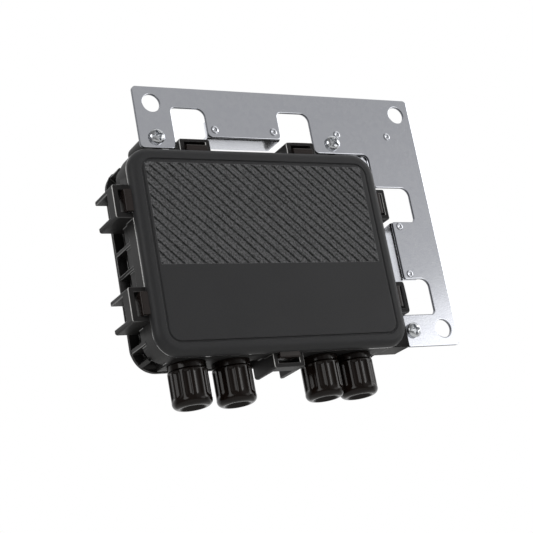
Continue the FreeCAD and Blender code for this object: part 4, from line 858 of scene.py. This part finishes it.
def nut_section():
    """The nut's section from its top face: out, down the side, round the end, up inside."""
    t = np.radians(np.linspace(0, 90, 12))[1:]
    heights = np.concatenate([np.linspace(-4.0, -5.6, 7), np.linspace(-7.0, -15.0, 6),
                              np.linspace(-15.4, DOME_TOP, 12)])
    section = [(7.7, -3.5), (8.6, -3.5), (9.45, -3.5), (9.68, -3.58), (9.78, -3.8)]
    section += [(NUT_RADIUS, z) for z in heights]
    section += list(zip(NUT_RADIUS - DOME_ROUND * (1 - np.cos(t)), DOME_TOP - DOME_ROUND * np.sin(t)))
    section += [(6.55, -21.1), (6.4, -21.07), (6.3, -20.95), (5.15, -18.85), (5.0, -18.6), (5.0, -16.9),
                (5.1, -16.55)]
    return section + [(NUT_BORE, z) for z in np.linspace(-15.05, -3.9, 61)]


def fluted(r, z, a):
    """Cuts twelve shallow flutes: a parabola across each, easing out near both ends.

    A root of the cut's square plus a little keeps the flute's long edges round. Inside,
    the bore gets the thread, which eases out at its mouth.
    """
    across = np.degrees((a + np.pi / 12) % (np.pi / 6) - np.pi / 12)
    cut = FLUTE_DEPTH * (1 - (across / FLUTE_HALF_DEGREES) ** 2)
    cut = 0.5 * (cut + np.sqrt(cut * cut + 0.006)) - 0.03
    along = ease((z + 17.9) / 2.4) * ease((-3.9 - z) / 1.4)
    out = np.where(r > NUT_RADIUS - 0.05, r - cut * along, r)
    inner = (r > STEM_RADIUS) & (r < NUT_BORE + 0.01) & (z > -15.1)
    return np.where(inner, r + thread(z, a) * ease((-3.9 - z) / 1.0), out)


def threaded(r, z, a):
    """Cuts the thread into the stem below its collar."""
    return np.where((np.abs(r - STEM_RADIUS) < 0.05) & (z < -3.5), r - thread(z, a), r)


# Nylon from a polished mould: a deep warm black with small sharp highlights
nylon = moulded_plastic("gloss_black_nylon", "#150F0C", 0.15, 1.2, 0.003, 0.22)
# Acetal: plain black with a waxy half gloss
acetal = moulded_plastic("plain_black_acetal", "#1A1A1A", 0.45, 0.5, 0.006, 0.4)
for number, x in enumerate(GLAND_X, start=1):
    spot = CASE + [x, GLAND_Y, -HALF_HEIGHT]
    link_form("gland_dome_%d" % number, moved(lathe(nut_section(), 240, fluted), spot), [nylon],
              "gland_nut_%d" % number, "gland_nut_%d" % number)
    link_form("gland_stem_%d" % number, moved(lathe(STEM, 96, threaded), spot), [nylon],
              "gland_body_%d" % number)
    link_form("pressure_ring_%d" % number, moved(lathe(PRESSURE_RING, 64), spot), [acetal],
              "gland_ring_%d" % number, "gland_ring_%d" % number)


# CIRCUIT BOARD
# Glass-fibre laminate with green solder mask over copper tracks, on four zinc screws.
# Small chip resistors and capacitors are soldered round the controller. Places on the
# board are across and up from the case's middle.

BOARD_FRONT, BOARD_BACK = 15.2, 16.8
BOARD = box_corners(-58.0, -29.7, 58.0, 41.0, 2.0)
POSTS = [(-54.0, 37.0, 30.0), (54.0, 37.0, 75.0), (-37.3, -25.5, 12.0), (34.3, -25.5, 52.0)]
POST_HOLE = 1.45
# Board screws: head as for the bracket's, then the shank's radius and length
BOARD_HEAD, BOARD_STEM = (2.7, 1.8, 0.5, (0.42, 2.0, 1.2)), (1.4, 5.4)
# Blocks: width, height, corner, top and foot above the board, front edge's round, arc steps
CHIP_BODY = (1.3, 1.2, 0.1, 0.6, 0.0, 0.06, 2)
CHIP_END = (0.4, 1.26, 0.08, 0.64, 0.0, 0.06, 2)
CHIP_END_OUT = 0.82
# Rows of chip parts, as first place, step and count
CHIP_ROWS = [((16.0, 22.4), (3.4, 0.0), 6), ((34.5, 2.0), (0.0, 3.2), 7), ((24.0, -4.0), (3.4, 0.0), 7),
             ((25.7, -9.0), (3.4, 0.0), 6), ((-52.0, -10.0), (0.0, 3.2), 4), ((-23.0, -2.0), (0.0, -3.2), 3)]


def solder_mask():
    """Green mask over straight copper tracks, which show a little lighter and stand proud.

    Tracks are 0.5 mm wide each 1.6 mm, coarser than real ones so that they show. Each run
    is cut into stretches by blocks of 9 by 26 mm, of which a share is left open.
    """
    material, tree = start_material("green_solder_mask")
    where = put_node(tree, "ShaderNodeTexCoord").outputs["Object"]
    tracks = None
    for axis, seed in ((0, 0.0), (2, 7.0)):
        along = [per_metre(1.6)] * 3
        along[2 - axis] = 0.0
        saw = put_node(tree, "ShaderNodeMapping", {"Scale": along}, {"Vector": where})
        part = put_node(tree, "ShaderNodeSeparateXYZ", {}, {0: saw}).outputs[axis]
        wave = put_node(tree, "ShaderNodeMath", {"operation": "PINGPONG", 1: 0.5}, {0: part})
        line = put_node(tree, "ShaderNodeMath", {"operation": "LESS_THAN", 1: 0.16}, {0: wave})
        block = [per_metre(9.0)] * 3
        block[2 - axis] = per_metre(26.0)
        cut = put_node(tree, "ShaderNodeMapping", {"Scale": block, "Location": (seed, 0.0, seed)},
                       {"Vector": where})
        cells = put_node(tree, "ShaderNodeTexVoronoi", {"Scale": 1.0, "Randomness": 0.6,
                                                        "distance": "CHEBYCHEV"}, {"Vector": cut})
        shade = put_node(tree, "ShaderNodeSeparateColor", {}, {0: cells.outputs["Color"]})
        left_open = put_node(tree, "ShaderNodeMath", {"operation": "GREATER_THAN", 1: 0.55}, {0: shade})
        shown = put_node(tree, "ShaderNodeMath", {"operation": "MULTIPLY"}, {0: line, 1: left_open})
        tracks = shown if tracks is None else put_node(tree, "ShaderNodeMath", {"operation": "MAXIMUM"},
                                                       {0: tracks, 1: shown})
    tone = put_node(tree, "ShaderNodeMix", {"data_type": "RGBA", 6: linear("#14502B"), 7: linear("#2C7A48")},
                    {0: tracks})
    relief = put_node(tree, "ShaderNodeBump", {"Strength": 1.0, "Distance": 0.00003}, {"Height": tracks})
    shader = put_node(tree, "ShaderNodeBsdfPrincipled", {"Roughness": 0.28},
                      {"Base Color": tone.outputs[2], "Normal": relief})
    put_node(tree, "ShaderNodeOutputMaterial", {}, {"Surface": shader})
    return material


def rounded_block(x, z, width, height, radius, top, foot, edge, steps=6):
    """A block on the board: one outline at three insets, so its front edge is round."""
    corners = box_corners(x - width / 2, z - height / 2, x + width / 2, z + height / 2, radius)
    loops = [corner_loop(corners, inset, steps) for inset in (0.0, 0.0, edge * 0.3, edge)]
    front = BOARD_FRONT - top
    points = stacked(loops, [BOARD_FRONT - foot, front + edge, front + edge * 0.3, front])
    size = (len(loops), len(loops[0]))
    return moved((points, grid_faces(*size, wrap_columns=True) + end_caps(*size)), CASE)


board = punched_plate(BOARD, [(x, z, POST_HOLE) for x, z, turned in POSTS], BOARD_FRONT, BOARD_BACK)
link_form("laminate_board", moved(board, CASE), [solder_mask()], "circuit_board")
link_screws("board_pan_screws", [(x + CASE[0], z + CASE[2], turned) for x, z, turned in POSTS],
            BOARD_FRONT, BOARD_HEAD, BOARD_STEM, "board_screws")
# Tinned leads and caps: silvery and a little cloudy. Fired ceramic: matt brown
tin = bright_metal("solder_tin", "#C4C5C2", 0.3)
chip_ceramic = moulded_plastic("chip_ceramic", "#6B5A45", 0.5, 0.5, 0.002)
places = [(x + i * step_x, z + i * step_z) for (x, z), (step_x, step_z), count in CHIP_ROWS
          for i in range(count)]
chips = [rounded_block(x, z, *CHIP_BODY) for x, z in places]
ends = [rounded_block(x + side * CHIP_END_OUT, z, *CHIP_END) for x, z in places for side in (-1, 1)]
link_form("chip_bodies", gather(chips), [chip_ceramic], "circuit_board")
link_form("chip_ends", gather(ends), [tin], "circuit_board")


# COILS AND CAPACITORS
# Two pot cores of fired ferrite with enamelled copper wound in their ring, two film
# capacitors cast in amber resin, three drawn aluminium cans with a scored vent.

COIL_X, COIL_Z = (-38.0, -8.0), 18.0
WIRE_RADIUS, WIRE_STEP = 0.38, 0.78
WINDING_IN, WINDING_OUT, WINDING_DEPTHS, WIRE_SWAY = 8.3, 10.6, (1.9, 2.5), 0.06
# A film capacitor's block, as for the chips
FILM_Z, FILM_BLOCK = -4.5, (26.0, 9.0, 1.0, 15.0, 0.0, 0.7)
CAN_X, CAN_Z = (15.02, 30.04, 45.07), 30.996
# A can's side with its crimp and rolled shoulder, as (radius, depth from the board)
CAN_SIDE = [(5.9, 0.0), (6.2, -0.3), (6.2, -1.6), (6.05, -1.9), (5.6, -2.4), (6.05, -2.9), (6.2, -3.2),
            (6.2, -16.3), (6.1, -16.75), (5.8, -17.0), (5.5, -16.8), (5.5, 0.0)]
# Its top: radius, height, crown and the vent's cross, which is half width, reach and depth
CAN_TOP = (5.6, 16.85, 0.0, (0.3, 4.6, 0.3))

# Ferrite: a dry grey-black ceramic. Enamel: clear orange gloss over copper. Resin: cloudy
# amber with a soft shine. Drawn aluminium: pale, with broad dull streaks
ferrite = moulded_plastic("fired_ferrite", "#3A3A3D", 0.6, 0.9, 0.012, 0.4)
enamel = bright_metal("enamelled_copper", "#B4673A", 0.24)
resin = moulded_plastic("amber_casting_resin", "#B0702C", 0.3, 6.0, 0.02)
aluminium = bright_metal("drawn_aluminium", "#CFD0D3", 0.26, 3.0)
for number, x in enumerate(COIL_X, start=1):
    core = link_piece("ferrite_core_%d" % number, welded_copy("power_inductor_%d" % number), [ferrite],
                      "power_inductor_%d" % number)
    soften(core, 0.3)
    # Two layers of wire in the ring: each turn is a circle a little off round
    wires = [moved(lathe(round_wire(WIRE_RADIUS, 10) + [around, 0.0], 64,
                         lambda r, z, a: r + WIRE_SWAY * np.sin(3 * a + number)),
                   CASE + [x, depth, COIL_Z], lying=True)
             for layer, depth in enumerate(WINDING_DEPTHS)
             for around in np.arange(WINDING_IN + 0.2 * layer, WINDING_OUT, WIRE_STEP)]
    link_form("copper_winding_%d" % number, gather(wires), [enamel],
              "power_inductor_%d" % number, sharp_degrees=80.0)
    link_form("film_block_%d" % number, rounded_block(x, FILM_Z, *FILM_BLOCK), [resin],
              "film_capacitor_%d" % number)
for number, x in enumerate(CAN_X, start=1):
    side = moved(lathe(CAN_SIDE, 64), (0.0, 0.0, 0.0), lying=True)
    can = gather([side, crossed_disc(*CAN_TOP, 20.0 * number)])
    link_form("aluminium_can_%d" % number, moved(can, CASE + [x, BOARD_FRONT, CAN_Z]), [aluminium],
              "electrolytic_capacitor_%d" % number)


# POWER AND CONTROL PARTS
# Epoxy-moulded transistors, diode and controller with tinned leads, a folded tin shield
# over the radio, a soft pad behind the board, and four screw terminals.

# Blocks, as across and up, then as for the chips. The pad lies behind the board
CONTROLLER_X, CONTROLLER_Z, DIODE_X, SHIELD_X, SHIELD_Z = 24.01, 12.01, 12.99, 44.02, 10.0
CONTROLLER = (CONTROLLER_X, CONTROLLER_Z, 9.6, 9.6, 0.4, 1.6, 0.1, 0.15, 3)
DIODE = (DIODE_X, -3.6, 10.0, 9.6, 0.4, 4.5, 0.2, 0.3, 3)
DIODE_METAL = [(DIODE_X, 1.6, 9.0, 1.7, 0.3, 1.3, 0.0, 0.1, 3),
               (DIODE_X - 2.5, -9.9, 0.9, 3.1, 0.2, 0.7, 0.0, 0.1, 3),
               (DIODE_X + 2.5, -9.9, 0.9, 3.1, 0.2, 0.7, 0.0, 0.1, 3)]
SHIELD = (SHIELD_X, SHIELD_Z, 22.0, 18.0, 1.0, 3.2, 0.0, 0.4, 5)
HOLE_SHADE_DISC, HOLE_STEP = (1.2, 1.2, 0.58, 3.21, 2.9, 0.02), 3.0
PAD = (-24.0, 18.0, 58.0, 15.0, 0.5, -4.8, -5.6, 0.1, 3)
LEAD_SPAN, LEAD_PITCH, LEADS_A_SIDE = 5.98, 0.75, 11
CLAMP_DEPTH, CLAMP_Z, CLAMP_HEAD = 5.55, -23.9, (2.45, 0.9, 0.2, (0.4, 2.2, 0.6))


def gull_leads(x, z, turn_degrees):
    """A row of gull-wing leads: a bent ribbon, repeated at the pitch and turned about (x, z).

    Each ribbon's path is out and depth: level, down, level again on the board. Its four
    corners are across and rise, and every point is path plus corner.
    """
    path = np.array([(-2.2, -0.95), (-1.4, -0.95), (-1.05, -0.75), (-0.85, -0.25), (-0.6, -0.12),
                     (0.0, -0.12)]) + [LEAD_SPAN, BOARD_FRONT]
    ribbon = np.array([(-0.16, 0.1), (0.16, 0.1), (0.16, -0.1), (-0.16, -0.1)])
    cos, sin = math.cos(math.radians(turn_degrees)), math.sin(math.radians(turn_degrees))
    out = np.repeat(path[:, 0], len(ribbon))
    depth = (path[:, 1, None] + ribbon[:, 1]).ravel()
    faces = grid_faces(len(path), len(ribbon), wrap_columns=True) + end_caps(len(path), len(ribbon))
    leads = []
    for offset in (np.arange(LEADS_A_SIDE) - (LEADS_A_SIDE - 1) / 2) * LEAD_PITCH:
        across = np.tile(offset + ribbon[:, 0], len(path))
        points = np.column_stack([x + out * cos - across * sin, depth, z + out * sin + across * cos])
        leads.append(moved((points, faces), CASE))
    return leads


# Moulded epoxy: dense matt black with a faint sheen
epoxy = moulded_plastic("black_moulded_epoxy", "#1B1B1C", 0.48, 0.3, 0.006)
for number in (1, 2, 3, 4):
    package = link_piece("transistor_%d" % number, welded_copy("power_transistor_%d" % number), [epoxy],
                         "power_transistor_%d" % number)
    soften(package, 0.12)
link_form("controller", rounded_block(*CONTROLLER), [epoxy], "control_chip")
leads = [lead for turned in (0, 90, 180, 270) for lead in gull_leads(CONTROLLER_X, CONTROLLER_Z, turned)]
link_form("controller_leads", gather(leads), [tin], "control_chip")
link_form("diode_body", rounded_block(*DIODE), [epoxy], "bypass_diode")
link_form("diode_tab_and_leads", gather([rounded_block(*block) for block in DIODE_METAL]), [tin],
          "bypass_diode")
link_form("tin_shield", rounded_block(*SHIELD), [tin], "radio_shield")
# Cooling holes in the shield aren't cut: black discs 1.2 mm across sit on it, painted shade for the dark
# inside of each hole
painted_hole_shade = [rounded_block(SHIELD_X + dx, SHIELD_Z + dz, *HOLE_SHADE_DISC)
        for dx in np.arange(-7.5, 7.6, HOLE_STEP) for dz in np.arange(-4.5, 4.6, HOLE_STEP)]
link_form("shield_holes_painted_shade", gather(painted_hole_shade), [epoxy], "radio_shield")
# Filled silicone: soft, chalky and blue-grey. Polyamide: green, satin, faintly rippled
silicone = moulded_plastic("grey_silicone_pad", "#8D949A", 0.7, 1.0, 0.02, 0.3)
link_form("silicone_pad", rounded_block(*PAD), [silicone], "thermal_pad")
polyamide = moulded_plastic("green_polyamide_terminals", "#2B7B44", 0.38, 0.4, 0.006)
for number, x in enumerate(GLAND_X, start=1):
    block = link_piece("terminal_%d" % number, welded_copy("terminal_block_%d" % number), [polyamide],
                       "terminal_block_%d" % number)
    soften(block, 0.25)
    clamp = crossed_disc(*CLAMP_HEAD, 25.0 * number, 40)
    link_form("clamp_screw_%d" % number, moved(clamp, CASE + [x, CLAMP_DEPTH, CLAMP_Z]), [zinc],
              "terminal_block_%d" % number)
